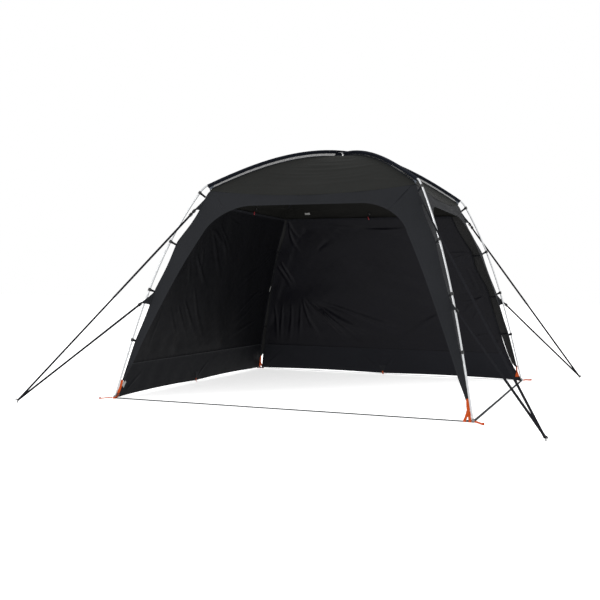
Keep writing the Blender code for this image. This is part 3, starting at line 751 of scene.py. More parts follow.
# folds seen from inside: (along, height, along, height, depth, width), along world y or x
wallFolds = {
    "left": [(0.90, 1.22, 0.25, 0.90, 0.012, 0.042), (0.99, 0.81, 0.46, 0.53, 0.011, 0.040),
             (0.95, 0.91, 0.55, 0.70, 0.010, 0.032), (1.02, 0.95, 0.38, 0.55, 0.011, 0.036),
             (1.15, 0.60, 0.51, 0.43, 0.010, 0.032), (0.34, 1.20, 0.23, 1.00, 0.006, 0.026),
             (-0.67, 1.55, -0.01, 1.29, 0.010, 0.036), (-0.54, 1.61, 0.06, 1.25, 0.008, 0.030),
             (-0.43, 1.53, 0.00, 1.18, 0.008, 0.032), (-0.64, 1.55, 0.06, 0.94, 0.011, 0.040),
             (-0.76, 1.31, -0.27, 0.93, 0.011, 0.038), (-0.65, 1.36, -0.53, 1.07, 0.008, 0.034),
             (-0.84, 1.26, -0.70, 0.95, 0.008, 0.034), (-0.82, 0.82, -0.46, 0.47, 0.010, 0.036),
             (-0.96, 0.79, -0.69, 0.50, 0.009, 0.034), (-0.72, 0.86, -0.26, 0.45, 0.010, 0.036),
             (-0.60, 0.99, -0.05, 0.41, 0.010, 0.040), (-1.08, 0.76, -1.18, 0.40, 0.006, 0.026),
             (-0.38, 1.68, 0.08, 1.61, -0.006, 0.026)],
    "back": [(-1.18, 1.24, -1.01, 0.95, 0.012, 0.028), (-1.13, 1.29, -0.97, 0.97, 0.009, 0.024),
             (-0.97, 1.73, -0.87, 1.56, 0.010, 0.024), (-0.96, 1.68, -0.93, 1.42, 0.009, 0.022),
             (-0.50, 1.672, -0.02, 1.618, 0.009, 0.034), (-0.14, 1.622, 0.66, 1.662, 0.009, 0.034),
             (-0.67, 1.40, -0.46, 1.53, -0.007, 0.034), (-0.83, 0.85, -0.31, 0.32, 0.017, 0.040),
             (-0.84, 0.84, -0.44, 0.46, 0.012, 0.030), (-0.66, 0.71, -0.27, 0.45, 0.010, 0.030),
             (-0.90, 0.74, -0.68, 0.30, 0.013, 0.034), (-0.80, 0.84, 0.10, 0.36, 0.021, 0.048),
             (-0.72, 0.84, 0.46, 0.44, 0.018, 0.052), (-0.70, 0.76, -0.10, 0.32, 0.014, 0.036),
             (0.75, 0.74, 0.22, 0.36, 0.010, 0.052),
             (-1.25, 0.80, -1.26, 0.30, 0.008, 0.024), (-1.15, 0.80, -1.22, 0.30, 0.008, 0.024),
             (-1.04, 0.80, -1.12, 0.30, 0.009, 0.026), (-0.92, 0.80, -0.98, 0.305, 0.009, 0.028),
             (0.99, 1.23, 1.13, 0.88, 0.009, 0.030), (0.95, 0.73, 1.05, 0.84, 0.005, 0.026),
             (1.04, 0.64, 1.13, 0.80, 0.006, 0.026), (1.22, 0.73, 1.22, 0.58, 0.007, 0.020),
             (1.30, 0.45, 1.31, 0.34, 0.007, 0.020), (1.04, 0.53, 1.19, 0.38, 0.008, 0.024)],
}
skirtFolds = {
    "left": [(-0.09, 0.03, 0.16, 0.22, 0.005, 0.018), (-0.09, 0.03, -0.34, 0.21, 0.005, 0.018),
             (-1.42, 0.05, -1.16, 0.22, 0.005, 0.020), (1.42, 0.05, 1.2, 0.22, 0.004, 0.020)],
    "back": [(-0.02, 0.05, -0.236, 0.26, 0.008, 0.018), (0.02, 0.05, 0.16, 0.24, 0.006, 0.018),
             (0.0, 0.06, 0.0, 0.27, 0.006, 0.014), (1.50, 0.03, 1.31, 0.27, 0.009, 0.020),
             (1.42, 0.05, 1.15, 0.22, 0.005, 0.020), (-1.42, 0.05, -1.2, 0.22, 0.005, 0.020)],
}
wallSoftness = {"left": 0.66, "back": 1.12}  # share of the depths above
pegPlaces = {"left": -0.09, "back": 0.01}  # middle of the hem, where a loop is pegged

# pulls that fan out from where a wall is held: (along, height, first angle, last angle, how many, reach)
wallFans = {
    "left": ((1.10, 1.40, 190, 240, 4, 0.5), (1.22, 0.95, 190, 235, 4, 0.45),
             (-0.95, 1.66, -75, -45, 3, 0.7)),
    "back": ((-0.98, 1.70, -80, -45, 3, 0.35), (1.05, 1.36, 170, 240, 3, 0.40),
             (1.18, 0.92, 150, 240, 5, 0.36), (1.28, 0.50, 110, 200, 4, 0.26),
             (-0.90, 0.86, -85, -35, 4, 0.5)),
}


def fanFolds(side):
    dice = np.random.RandomState(7 if side == "left" else 8)
    folds = []
    for a, b, first, last, count, reach in wallFans[side]:
        for k in range(count):
            angle = math.radians(first + (last - first) * (k + dice.uniform(0.1, 0.9)) / count)
            far = reach * dice.uniform(0.55, 1.15)
            folds.append((a, b, a + far * math.cos(angle), b + far * math.sin(angle),
                          dice.uniform(0.004, 0.007), dice.uniform(0.016, 0.028)))
    return folds


def wallFoldField(side, a, z):
    big = (creases(a, z, wallFolds[side]) + creases(a, z, fanFolds(side), 0.08)) * wallSoftness[side]
    seed, acrossWise, upWise = (71, 1.3, 0.5) if side == "left" else (83, 0.45, 1.5)
    slow = ripple(a * acrossWise, z * upWise, seed, 0.65, 7) * wall["slowWave"]
    loose = ripple(a * acrossWise, z * upWise, seed + 1, 0.22, 9) * wall["looseWave"]
    fine = ripple(a, z, seed + 2, 0.10, 11) * wall["fineWave"]
    middle = ease(wall["seam"] + 0.004, wall["seam"] + 0.14, z) * (1 - ease(1.60, 1.735, z))
    upper = big * ease(wall["seam"], wall["seam"] + 0.05, z) + (slow + loose + fine) * middle
    skirt = creases(a, z, skirtFolds[side]) + ripple(a * 0.7, z * 0.7, seed + 3, 0.22, 8) * wall["skirtWave"]
    skirt = skirt * (1 - ease(wall["seam"] - 0.05, wall["seam"] - 0.004, z))
    ridge = wall["seamRidge"] * np.exp(-((z - wall["seam"]) / 0.006) ** 2)
    nearSeam = np.exp(-np.abs(z - wall["seam"]) / 0.03)
    pucker = ripple(a, z * 0.1, seed + 4, 0.06, 6) * wall["seamPucker"] * nearSeam
    uneven = 0.75 + 0.25 * ripple(a, 0 * z, seed + 5, 0.4)
    flap = wall["topShadow"] * ease(wall["top"] - 0.04, wall["top"], z) * uneven
    return upper + skirt + ridge + pucker + flap


def wallRows():
    steps = np.linspace(0, 1, wall["rows"])
    z = wall["hem"] + (wall["top"] - wall["hem"]) * steps
    near = np.abs(z - wall["seam"]).argmin()
    z[near] = wall["seam"]  # a row on the seam, and close ones beside it
    z[near - 1], z[near + 1] = wall["seam"] - 0.005, wall["seam"] + 0.005
    return z


def wallGrid(side):
    z = wallRows()
    u = np.linspace(-1, 1, wall["columns"])
    # the first end is at the lower world x or y, which is the far end of the row here
    near, far = (np.interp(z, *zip(*wallGaps[end])) for end in wallEnds[side])
    near, far = (np.convolve(np.pad(gap, 6, "edge"), np.ones(13) / 13, "valid") for gap in (near, far))
    reach = clothOffset(z) - scallopDepth(z)
    low, high = -(reach - far), reach - near
    level = np.broadcast_to(z[:, None], (len(z), len(u)))
    x = low[:, None] + (high - low)[:, None] * (u[None] + 1) / 2
    pegged = pegPlaces[side]
    arched = np.sin(math.pi * np.clip(np.abs(-x - pegged) / 1.4, 0, 1))  # the hem rises between its pegs
    lifted = 0.010 * arched * (1 - ease(0.0, 0.3, level))
    return np.stack([x, -sideDepth(x, level) + wall["inset"], level + lifted], axis=-1)


def makeWall(side, turns):
    grid = wallGrid(side)
    x, z = grid[..., 0], grid[..., 2]
    inward = wallFoldField(side, -x, z)
    # under the corner panels and the eave band a fold can only stand inwards
    under = ease(-0.03, 0.03, flapWidth(np.minimum(z, 1.6)) - clothOffset(z) + np.abs(x))
    under = np.maximum(under, ease(1.62, 1.69, z))
    soft = (np.sqrt(inward ** 2 + 0.000004) + inward) / 2
    shaped = grid.copy()
    shaped[..., 1] += inward * (1 - under) + (soft + wall["coveredInset"]) * under
    # the low corner is drawn out to the foot where the clip strap is taut
    end = -1 if side == "left" else 1
    reach = clothOffset(wall["hem"])
    near = np.exp(-((end * -x - reach) / 0.10) ** 2) * (1 - ease(0.0, 0.14, z - wall["hem"]))
    outX, outY, down = wall["footPull"]
    shaped[..., 0] -= end * near * outX
    shaped[..., 1] -= near * outY
    shaped[..., 2] -= near * down
    lower = (z[:-1, :-1] + z[1:, 1:]) / 2 < wall["seam"] - 0.001
    materials = [material for material in wallCloths[side] for _ in range(2)]
    hemmed = (z < wall["hem"] + 0.016) | (z > wall["top"] - 0.016)
    thick = np.where(hemmed, wall["edgeThick"], wall["thick"])
    thing = clothSheet(side + "_wall_cloth", shaped, materials, thick, lower.astype(int), turns)
    declareCloth(thing, grid)
    # zip tape up both edges, a binding along the top and a tape over the seam
    seamRow = int(np.abs(wallRows() - wall["seam"]).argmin())
    wide = wall["zip"]
    strips = {"wall_zip_a": shaped[:, :wide], "wall_zip_b": shaped[:, -wide:],
              "wall_binding": shaped[-wide:, 2:-2], "wall_seam": shaped[seamRow - 1:seamRow + 1, 3:-3]}
    for part, strip in strips.items():
        proud = strip + np.array([0, wall["zipProud"], 0])
        # only the left wall's seam tape is lighter: a painted highlight
        finish = seamHighlightTape if part == "wall_seam" and side == "left" else blackWebbing
        tape = clothSheet(f"{part}_{side}", proud, [finish, finish], wall["zipThick"], turns=turns)
        ride(tape, "wall_cloth")
    return ride(thing, "wall_cloth", side + "_wall")


for turns, side in enumerate(sides):
    makeRoof(side, turns)
    makeBand(side, turns)
    if side in walled:
        makeWall(side, turns)
for turns, corner in enumerate(corners):
    makeCorner(corner, turns)
print("canopy and walls made")


# sleeves and nets

sleeve = {"round": 0.0105, "bore": 0.0089, "hem": 0.0225, "hemHalf": 0.0015, "stations": 150,
          "pucker": 0.00035}
net = {"thick": 0.0012, "columns": 110, "rows": 5, "topStart": 0.932, "topEnd": 0.048, "lowEnd": 0.0615,
       "bow": 0.0012, "underRod": 0.0092}
gusset = {"thick": 0.0014, "columns": 8, "rows": 4}
onCrease = cloth["crease"] - 0.001  # where nets and gussets meet the roof


def armLift(corner):  # the pole from front left to back right lies on the other
    sx, sy = corners[corner]
    return poles["lift"] * sx * sy


def archPath(corner, start, end, count, depth, lift=0.0):  # a line at a depth below a pole
    stations = np.linspace(start, end, count)
    return np.array([cornerPoint(corner, *belowArch(e, depth, lift)) for e in stations])


def polePath(corner, start, end, count, lift):  # along a pole, over the top where an end is negative
    stations = np.linspace(start, end, count)
    return np.array([cornerPoint(corner, e, archHeight(abs(e), lift)) for e in stations])


def uprightSide(path, corner):  # the side that keeps a section the right way up
    across = cornerFrame(corner)[1]
    return across if np.cross(path[1] - path[0], across)[2] > 0 else -across


def gridBetween(low, top, rows):
    s = np.linspace(0, 1, rows)[:, None, None]
    return low[None] * (1 - s) + top[None] * s


def sleeveSections(corner, count):
    angles = np.radians(np.linspace(-35, 215, 22))
    base = [(sleeve["round"] * math.cos(a), sleeve["round"] * math.sin(a)) for a in angles]
    base += [(-0.0045, -0.0125), (-sleeve["hemHalf"], -0.0168), (-sleeve["hemHalf"], -sleeve["hem"]),
             (sleeve["hemHalf"], -sleeve["hem"]), (sleeve["hemHalf"], -0.0168), (0.0045, -0.0125)]
    base = np.array(base)
    run = np.linspace(0, 1.35, count)[:, None]
    turn = np.arctan2(base[:, 1], base[:, 0])[None]
    seed = 101 + list(corners).index(corner)
    puckers = ripple(run * 3.2, turn * 0.05, seed, 0.09, 9) * sleeve["pucker"]
    return base[None] * (1.0 + puckers / sleeve["round"])[..., None] + np.zeros((count, 1, 1))


def makeSleeve(corner):
    count = sleeve["stations"]
    path = archPath(corner, poles["sleeveStart"], poles["sleeveEnd"], count, 0.0, armLift(corner))
    angles = np.radians(np.concatenate([np.linspace(-35, 215, 22), np.linspace(228, 312, 6)]))
    inner = np.stack([sleeve["bore"] * np.cos(angles), sleeve["bore"] * np.sin(angles)], axis=-1)
    outer = sleeveSections(corner, count)
    thing = loftAlong("sleeve_cloth_" + corner, path, uprightSide(path, corner), outer, [sleeveCloth], inner)
    return ride(thing, "sleeve_cloth", "sleeve_" + corner)


def makeNet(corner, turns):
    count, rows = net["columns"], net["rows"]
    top = archPath(corner, net["topStart"], net["topEnd"], count, sleeve["hem"] - 0.003, armLift(corner))
    low = archPath(corner, eaveStation - 0.006, net["lowEnd"], count, onCrease)
    bow = ripple(np.linspace(0, 1.3, count), 0, 131 + turns, 0.12, 6)[None, :, None] * net["bow"]
    bow = bow * np.sin(math.pi * np.linspace(0, 1, rows))[:, None, None]
    grid = gridBetween(low, top, rows) + cornerFrame(corner)[1] * bow
    thing = clothSheet("net_strip_" + corner, grid, [netCloth, netCloth], net["thick"])
    declareCloth(thing, grid)
    return ride(thing, "net_cloth", "net_" + corner)


def makeGusset(name, low, top, material, slot):
    grid = gridBetween(low, top, gusset["rows"])
    return ride(clothSheet(name, grid, [material, material], gusset["thick"]), slot)


def makeGussets(corner):
    # one closes the net's end between the sleeve and the eave's corner
    lift, count = armLift(corner), gusset["columns"]
    top = archPath(corner, 0.928, 0.963, count, sleeve["hem"] - 0.002, lift)
    ends = [belowArch(e, onCrease) for e in (eaveStation - 0.012, eaveStation)]
    ends.append((cornerE + 0.004, cornerZ - 0.012))
    low = smoothRun([cornerPoint(corner, e, z) for e, z in ends], count)
    makeGusset("gusset_" + corner, low, top, gussetCloth, "net_cloth")
    # the other is plain cloth between the net's upper end and the crossing
    top = archPath(corner, 0.050, 0.009, count, net["underRod"], lift)
    low = archPath(corner, 0.0635, 0.009, count, onCrease)
    makeGusset("crown_gusset_" + corner, low, top, sleeveCloth, "sleeve_cloth")


creaseTape = {"below": 0.0030, "width": 0.014, "thick": 0.0012}
creaseBinding = {"depth": 0.0400, "height": 0.0090, "thick": 0.0032}


def makeCreaseTapes(corner):
    # tape sewn under the roof's crease, seen from inside
    path = archPath(corner, eaveStation - 0.004, 0.01, 60, cloth["crease"] + creaseTape["below"])
    across = cornerFrame(corner)[1]
    makeStrap("crease_tape_" + corner, path, across, creaseTape["width"], creaseTape["thick"], blackWebbing,
              "side_cloth")
    # and the binding that the net is sewn into, which stands on the roof's edge
    path = archPath(corner, eaveStation - 0.008, 0.012, 90, creaseBinding["depth"])
    makeStrap("crease_binding_" + corner, path, (0, 0, 1), creaseBinding["height"], creaseBinding["thick"],
              sleeveCloth, "side_cloth")


crown = {"cover": 0.0101, "start": 0.046, "nearUpper": 0.0125, "stations": 24}


def makeCrownCover(name, corner, start, end):
    # the sleeve's cloth carried on over the crossing, open underneath
    angles = np.radians(np.linspace(-48, 228, 24))
    ring = np.stack([np.cos(angles), np.sin(angles)], axis=-1)
    section = np.concatenate([ring * crown["cover"], ring[::-1] * sleeve["bore"]])
    path = polePath(corner, start, end, crown["stations"], armLift(corner))
    return ride(loftAlong(name, path, uprightSide(path, corner), section, [sleeveCloth]), "sleeve_cloth")


makeCrownCover("crown_cover_upper", "front_left", crown["start"], -crown["start"])
for corner in ("front_right", "back_left"):
    makeCrownCover("crown_cover_" + corner, corner, crown["start"], crown["nearUpper"])
for turns, corner in enumerate(corners):
    makeSleeve(corner)
    makeNet(corner, turns)
    makeGussets(corner)
    makeCreaseTapes(corner)
print("sleeves and nets made")


# frame of poles

legPole = {"joints": (0.36, 0.86, 1.30), "swage": 0.055, "swageRadius": 0.0087, "start": 0.012, "sides": 28}
foot = {"radius": 0.012,  # rubber cap with a domed top edge and two grip rings: (height, radius)
        "profile": ((0.0006, 0.0085), (0.0016, 0.0112), (0.004, 0.012), (0.010, 0.012), (0.0108, 0.0114),
                    (0.0124, 0.0114), (0.0132, 0.012), (0.018, 0.012), (0.0188, 0.0114), (0.0204, 0.0114),
                    (0.0212, 0.012), (0.0265, 0.0118), (0.029, 0.0106), (0.030, 0.0086))}
clip = {"radius": 0.0125, "lug": (0.012, 0.006, 0.022), "mouth": (0.004, 0.009, 0.026),
        "strapWidth": 0.018, "strapThick": 0.0014,  # and the ring's profile: (along the pole, radius)
        "profile": ((-0.014, 0.0095), (-0.0132, 0.0112), (-0.0105, 0.0122), (-0.004, 0.0125),
                    (0.004, 0.0125), (0.0105, 0.0122), (0.0132, 0.0112), (0.014, 0.0095))}


def elbowPath():
    meetZ = solve(lambda z: z - archHeight(legOffset(z)), 1.7, 2.0)
    meet = np.array([legOffset(meetZ), meetZ])
    lowZ = meetZ - poles["elbowReach"]
    low = np.array([legOffset(lowZ), lowZ])
    end = poles["sleeveStart"] + 0.0027
    high = np.array([end, archHeight(end)])
    t = np.linspace(0, 1, 14)[:, None]
    return low * (1 - t) ** 2 + meet * 2 * t * (1 - t) + high * t ** 2


def legStations():
    elbow = elbowPath()
    marks = set(np.linspace(legPole["start"], elbow[0, 1], 40)[:-1].tolist())
    for z in legPole["joints"]:
        for shift in (0, 0.0012, 0.0024, legPole["swage"], legPole["swage"] + 0.0012):
            marks.add(z + shift)
    straight = [(legOffset(z), z) for z in sorted(marks)]
    return np.concatenate([np.array(straight), elbow])


def legRadii(heights):
    radii = np.full(len(heights), poles["radius"])
    for z in legPole["joints"]:
        radii[(heights > z + 0.0011) & (heights < z + legPole["swage"] + 0.0006)] = legPole["swageRadius"]
    return radii


def makeLegPole(corner):
    line = legStations()
    path = [cornerPoint(corner, e, z) for e, z in line]
    thing = lathe("leg_pole_" + corner, path, cornerFrame(corner)[1], legRadii(line[:, 1]), [poleMetal],
                  legPole["sides"])
    return ride(thing, "pole_metal", "leg_" + corner)


def makeFoot(corner):
    heights, radii = zip(*foot["profile"])
    path = [cornerPoint(corner, poles["footHalf"], z) for z in heights]
    thing = lathe("foot_cap_" + corner, path, cornerFrame(corner)[1], radii, [greyRubber])
    return ride(thing, "pole_metal", "leg_" + corner)


def legFrame(corner, z):  # centre, direction along the leg, inwards square to it, and sideways
    centre = cornerPoint(corner, legOffset(z), z)
    along = unit(cornerPoint(corner, legOffset(z + 0.01), z + 0.01) - centre)
    out, across = cornerFrame(corner)
    inward = unit(np.cross(along, across))
    if inward @ out > 0:
        inward = -inward
    return centre, along, inward, across


def makeClip(corner, number, z):
    centre, along, inward, across = legFrame(corner, z)

    def edgeMiss(run):  # short of the cloth's corner edge, or past it
        spot = centre + inward * run
        return spot @ cornerFrame(corner)[0] / root2 - clothOffset(spot[2])

    name = f"clip_{corner}_{number}"
    runs, radii = zip(*clip["profile"])
    ring = lathe(name, [centre + along * s for s in runs], across, radii, [blackPlastic])
    bm = bmesh.new()
    lugAt = centre + inward * (clip["radius"] + 0.004)
    roundedBox(bm, clip["lug"], placeOn(lugAt, inward, along), 0.0012)
    mouthAt = centre - inward * (clip["radius"] - 0.001)
    roundedBox(bm, clip["mouth"], placeOn(mouthAt, inward, along), 0.001)
    ride(joined(name, [ring, fromBmesh(name + "_lug", bm, [blackPlastic])]), "webbing")
    # doubled webbing from the lug to the corner edge of the cloth
    reach = solve(edgeMiss, 0.0, 0.15) + 0.004
    start = clip["radius"] + 0.002
    for hand in (-1, 1):
        runs = np.linspace(start, reach, 12)
        spread = 0.0030 * np.exp(-(runs - start) / 0.008) + 0.0009
        line = [centre + inward * r + across * hand * s for r, s in zip(runs, spread)]
        makeStrap(f"{name}_strap_{'a' if hand > 0 else 'b'}", line, along, clip["strapWidth"],
                  clip["strapThick"], blackWebbing, "webbing")


def makeRoofPole(place, corner):
    # one rod from one sleeve's end over the top to the other
    start = poles["sleeveStart"] + 0.0022
    path = polePath(corner, start, -start, 140, armLift(corner))
    thing = loftAlong("arch_rod_" + place, path, cornerFrame(corner)[1], circle(poles["radius"], 24),
                      [poleMetal], sharp=35)
    return ride(thing, "pole_metal", "roof_pole_" + place)


for corner in corners:
    makeLegPole(corner)
    makeFoot(corner)
    for number, z in enumerate(clipHeights):
        makeClip(corner, number, z)
makeRoofPole("upper", "front_left")
makeRoofPole("lower", "front_right")
print("poles and clips made")


# guys

# a tip and the stake are (outwards, height), an edge is (highest, lowest)
guy = {"stake": (2.12, 0.021), "width": 0.0185, "thick": 0.0018, "stations": 40, "twist": math.radians(40),
       "lean": 0.68, "upperTip": (1.043, 1.6785), "upperEdge": (1.79, 1.672), "lowerTip": (1.384, 0.838),
       "lowerEdge": (0.935, 0.815), "besidePole": 0.0098, "stakeSide": 0.0075,
       "upperBuckles": (0.012, 0.031), "lowerBuckle": 0.022}
tab = {"cells": 14, "thick": 0.0022, "tipHalf": 0.009, "under": 0.003, "scoop": 0.10, "wave": 0.0012}
buckle = {"length": 0.030, "rail": 0.0042, "railThick": 0.0052, "width": 0.020, "bar": 0.0040,
          "barThick": 0.0036, "bars": (-0.5, -0.04, 0.5)}
stake = {"radius": 0.0042,  # and its shape: (outwards, height)
         "shape": ((0, 0.0006), (0, 0.012), (0, 0.022), (0.0004, 0.0285), (0.0042, 0.0325),
                   (0.0085, 0.0300), (0.0098, 0.0245), (0.0098, 0.0190))}


def makeTab(name, corner, edge, tip, side=0.0):
    # cloth triangle sewn to the corner edge, drawn out to the guy
    high, low = edge
    z = np.linspace(low, high, tab["cells"])
    spread = np.linspace(-1, 1, tab["cells"])
    base = np.stack([clothOffset(z) - scallopDepth(z) - tab["under"], z], axis=-1)
    tips = np.stack([np.full(tab["cells"], tip[0]), tip[1] + spread * tab["tipHalf"]], axis=-1)
    t = np.linspace(0, 1, tab["cells"])
    grid = base[:, None] * (1 - t)[None, :, None] + tips[:, None] * t[None, :, None]
    grid[..., 1] -= tab["scoop"] * (t * (1 - t))[None] * spread[:, None] * (high - low)
    points = np.array([[cornerPoint(corner, e, h) for e, h in row] for row in grid])
    waves = ripple(grid[..., 0], grid[..., 1], 151, 0.05, 5) * tab["wave"] * np.sin(math.pi * t)[None]
    points = points + cornerFrame(corner)[1] * (waves + side * ease(0.0, 0.5, t)[None])[..., None]
    thing = clothSheet(name, points, [blackCloth, blackCloth], tab["thick"])
    return ride(thing, "side_cloth")


def makeBuckle(name, corner, line, share, side):
    # ladder lock: a frame with bars that the strap is threaded through, a share of the way along a guy
    across = cornerFrame(corner)[1]
    centre = cornerPoint(corner, *(line[0] + (line[-1] - line[0]) * share)[:2], side)
    ahead = unit(cornerPoint(corner, *unit(line[-1] - line[0])[:2]))
    cross = unit(np.cross(across, ahead))
    bm = bmesh.new()
    length, rail, width = buckle["length"], buckle["rail"], buckle["width"]
    for hand in (-1, 1):
        spot = centre + cross * hand * (width / 2 + rail / 2)
        roundedBox(bm, (length, rail, buckle["railThick"]), placeOn(spot, ahead, across), 0.0012)
    for step in buckle["bars"]:
        spot = centre + ahead * step * (length - buckle["bar"]) + across * 0.0008
        size = (buckle["bar"], width + rail, buckle["barThick"])
        roundedBox(bm, size, placeOn(spot, ahead, across), 0.001)
    return ride(fromBmesh(name, bm, [blackPlastic]), "webbing")


def makeGuyStrap(which, corner, start, sideways):
    # straight and taut to the stake; upright at the tab and turned further on
    t = np.linspace(0, 1, guy["stations"])
    (startE, startZ), (stakeE, stakeZ) = start, guy["stake"]
    line = np.stack([startE + (stakeE - startE) * t, startZ + (stakeZ - startZ) * t, sideways(t)], axis=-1)
    turn = guy["twist"] * -corners[corner][1] * ease(0.1, 0.5, t)[:, None]
    wide = np.array([[0, 0, 1]]) * np.cos(turn) - cornerFrame(corner)[1] * np.sin(turn) * guy["lean"]
    makeStrap(f"guy_strap_{which}_{corner}", [cornerPoint(corner, *p) for p in line], wide, guy["width"],
              guy["thick"], blackWebbing, "webbing", f"guy_{which}_{corner}")
    return line


def makeGuys(corner):
    hand = -corners[corner][1]
    side = hand * guy["besidePole"]  # both pass the pole on the same side

    def upperSide(t):
        over = ease(0.3, 0.95, t)
        return side * ease(0.0, 0.07, t) * (1 - over) + hand * guy["stakeSide"] * over

    upper = makeGuyStrap("upper", corner, guy["upperTip"], upperSide)
    makeTab("guy_tab_upper_" + corner, corner, guy["upperEdge"], guy["upperTip"])
    for number, share in enumerate(guy["upperBuckles"]):
        makeBuckle(f"guy_buckle_upper_{corner}_{number}", corner, upper, share, side * 0.5)
    lower = makeGuyStrap("lower", corner, guy["lowerTip"], lambda t: side * (1 - ease(0.25, 0.95, t)))
    makeTab("guy_tab_lower_" + corner, corner, guy["lowerEdge"], guy["lowerTip"], side)
    makeBuckle(f"guy_buckle_lower_{corner}", corner, lower, guy["lowerBuckle"], side)
    makeStake(corner)


def makeStake(corner):
    # steel peg driven in flush, with a hooked head that both straps loop round
    path = smoothRun([cornerPoint(corner, guy["stake"][0] + e, z) for e, z in stake["shape"]], 26)
    across, section = cornerFrame(corner)[1], circle(stake["radius"], 16)
    thing = loftAlong("stake_" + corner, path, across, section, [stakeMetal], sharp=35)
    ride(thing, "webbing", "guy_lower_" + corner)


for corner in corners:
    makeGuys(corner)
print("guys made")


# straps at the ground

# the fork is (outwards, height); the ends lie that far in from the foot
footStrap = {"width": 0.026, "thick": 0.0018, "legWidth": 0.022, "legThick": 0.0015, "woundWidth": 0.020,
             "loopWidth": 0.014, "loopThick": 0.0016, "loopRadius": 0.0150, "fork": (1.5115, 0.087),
             "aside": 0.005, "ends": (0.061, 0.022), "tail": 0.015, "thinTail": 0.009,
             "tailThick": 0.0013, "peg": 1.64}
pegProfile = ((0.0006, 0.0030), (0.006, 0.0032), (0.013, 0.0032), (0.0135, 0.0058), (0.0150, 0.0066),
              (0.0180, 0.0066), (0.0196, 0.0056), (0.0200, 0.0030))  # (height, radius)
groundStrap = {"width": 0.020, "thick": 0.0018, "height": 0.0072, "tilt": math.radians(15), "wave": 0.0015}
footRing = {"size": 0.024, "smallSize": 0.018, "bar": (0.0048, 0.0048), "bars": (-0.5, 0.05, 0.5),
            "rail": (0.0050, 0.0056)}


def makeRing(corner, spot, x, z, size):
    # square ring of black plastic with a middle bar
    bm = bmesh.new()
    place = placeOn(spot, x, z)
    (barWide, barThick), (railWide, railThick) = footRing["bar"], footRing["rail"]
    for step in footRing["bars"]:
        roundedBox(bm, (barWide, size, barThick), place @ Matrix.Translation((step * size, 0, 0)), 0.001)
    for hand in (-0.5, 0.5):
        roundedBox(bm, (size, railWide, railThick), place @ Matrix.Translation((0, hand * size, 0)), 0.001)
    ride(fromBmesh("foot_buckle_" + corner, bm, [blackPlastic]), "orange_webbing")


def orangeStrap(which, corner, path, wide, width, thick):
    makeStrap(f"foot_strap_{which}_{corner}", path, wide, width, thick, orangeWebbing, "orange_webbing",
              "foot_strap_" + corner)


def makeForkedStrap(corner):
    # from the tip of the corner panel, forked over the strap along the ground
    sx, sy = corners[corner]
    tipE = clothOffset(opening["tip"]) + 0.0022
    forkE, forkZ = footStrap["fork"]
    fall = [(clothOffset(0.17) + 0.0022, 0.17), (tipE, opening["tip"]), (tipE + 0.001, 0.125),
            (forkE, forkZ)]
    path = smoothRun([((e - footStrap["aside"]) * sx, e * sy, z) for e, z in fall], 22)
    wide = (1, 0, 0) if sy < 0 else cornerFrame(corner)[1]
    orangeStrap("upper", corner, path, wide, footStrap["width"], footStrap["thick"])
    half = poles["footHalf"]
    # (outwards, height): over the ground strap's outer edge and back under it
    run = [(forkE + 0.0010, forkZ + 0.006), (forkE + 0.006, 0.066), (half - 0.012, 0.036),
           (half + 0.004, 0.0175), (half + 0.0126, 0.0085), (half + 0.0102, 0.0034), (half - 0.004, 0.0028)]
    for which, inset in zip("ab", footStrap["ends"]):
        shift = np.interp(range(len(run)), [0, 3], [forkE - footStrap["aside"], half - inset])
        before = footStrap["thick"] if which == "b" else 0.0  # one lies on the other at the fork
        path = smoothRun([(s * sx, (r + before) * sy, z) for (r, z), s in zip(run, shift)], 36)
        orangeStrap(which, corner, path, (1, 0, 0), footStrap["legWidth"], footStrap["legThick"])
    tilt = groundStrap["tilt"]
    spot = ((half - 0.039) * sx, (half + 0.002) * sy, 0.0130)
    makeRing(corner, spot, (1, 0, 0), (0, math.sin(tilt) * sy, math.cos(tilt)), footRing["smallSize"])


def makeWoundStrap(corner):
    # here the strap runs down beside the pole and round its foot
    run = [(1.5035, 0.162, 0.0030), (1.5105, 0.125, 0.0045), (1.5185, 0.090, 0.0088),
           (1.5285, 0.055, 0.0118), (1.536, 0.030, 0.0150), (1.5425, 0.0145, 0.0165)]
    path = [cornerPoint(corner, *p) for p in smoothRun(run, 40)]
    out, across = cornerFrame(corner)
    orangeStrap("upper", corner, path, out, footStrap["woundWidth"], footStrap["thick"])
    radius, half = footStrap["loopRadius"], poles["footHalf"]
    ring = [cornerPoint(corner, half + radius * math.cos(t) / root2, 0.0085, radius * math.sin(t))
            for t in np.radians(np.linspace(-110, 150, 30))]
    orangeStrap("a", corner, ring, (0, 0, 1), footStrap["loopWidth"], footStrap["loopThick"])
    spot = cornerPoint(corner, 1.5325, 0.034, 0.0165)
    makeRing(corner, spot, out * 0.4 - np.array([0, 0, 1]), across, footRing["size"])


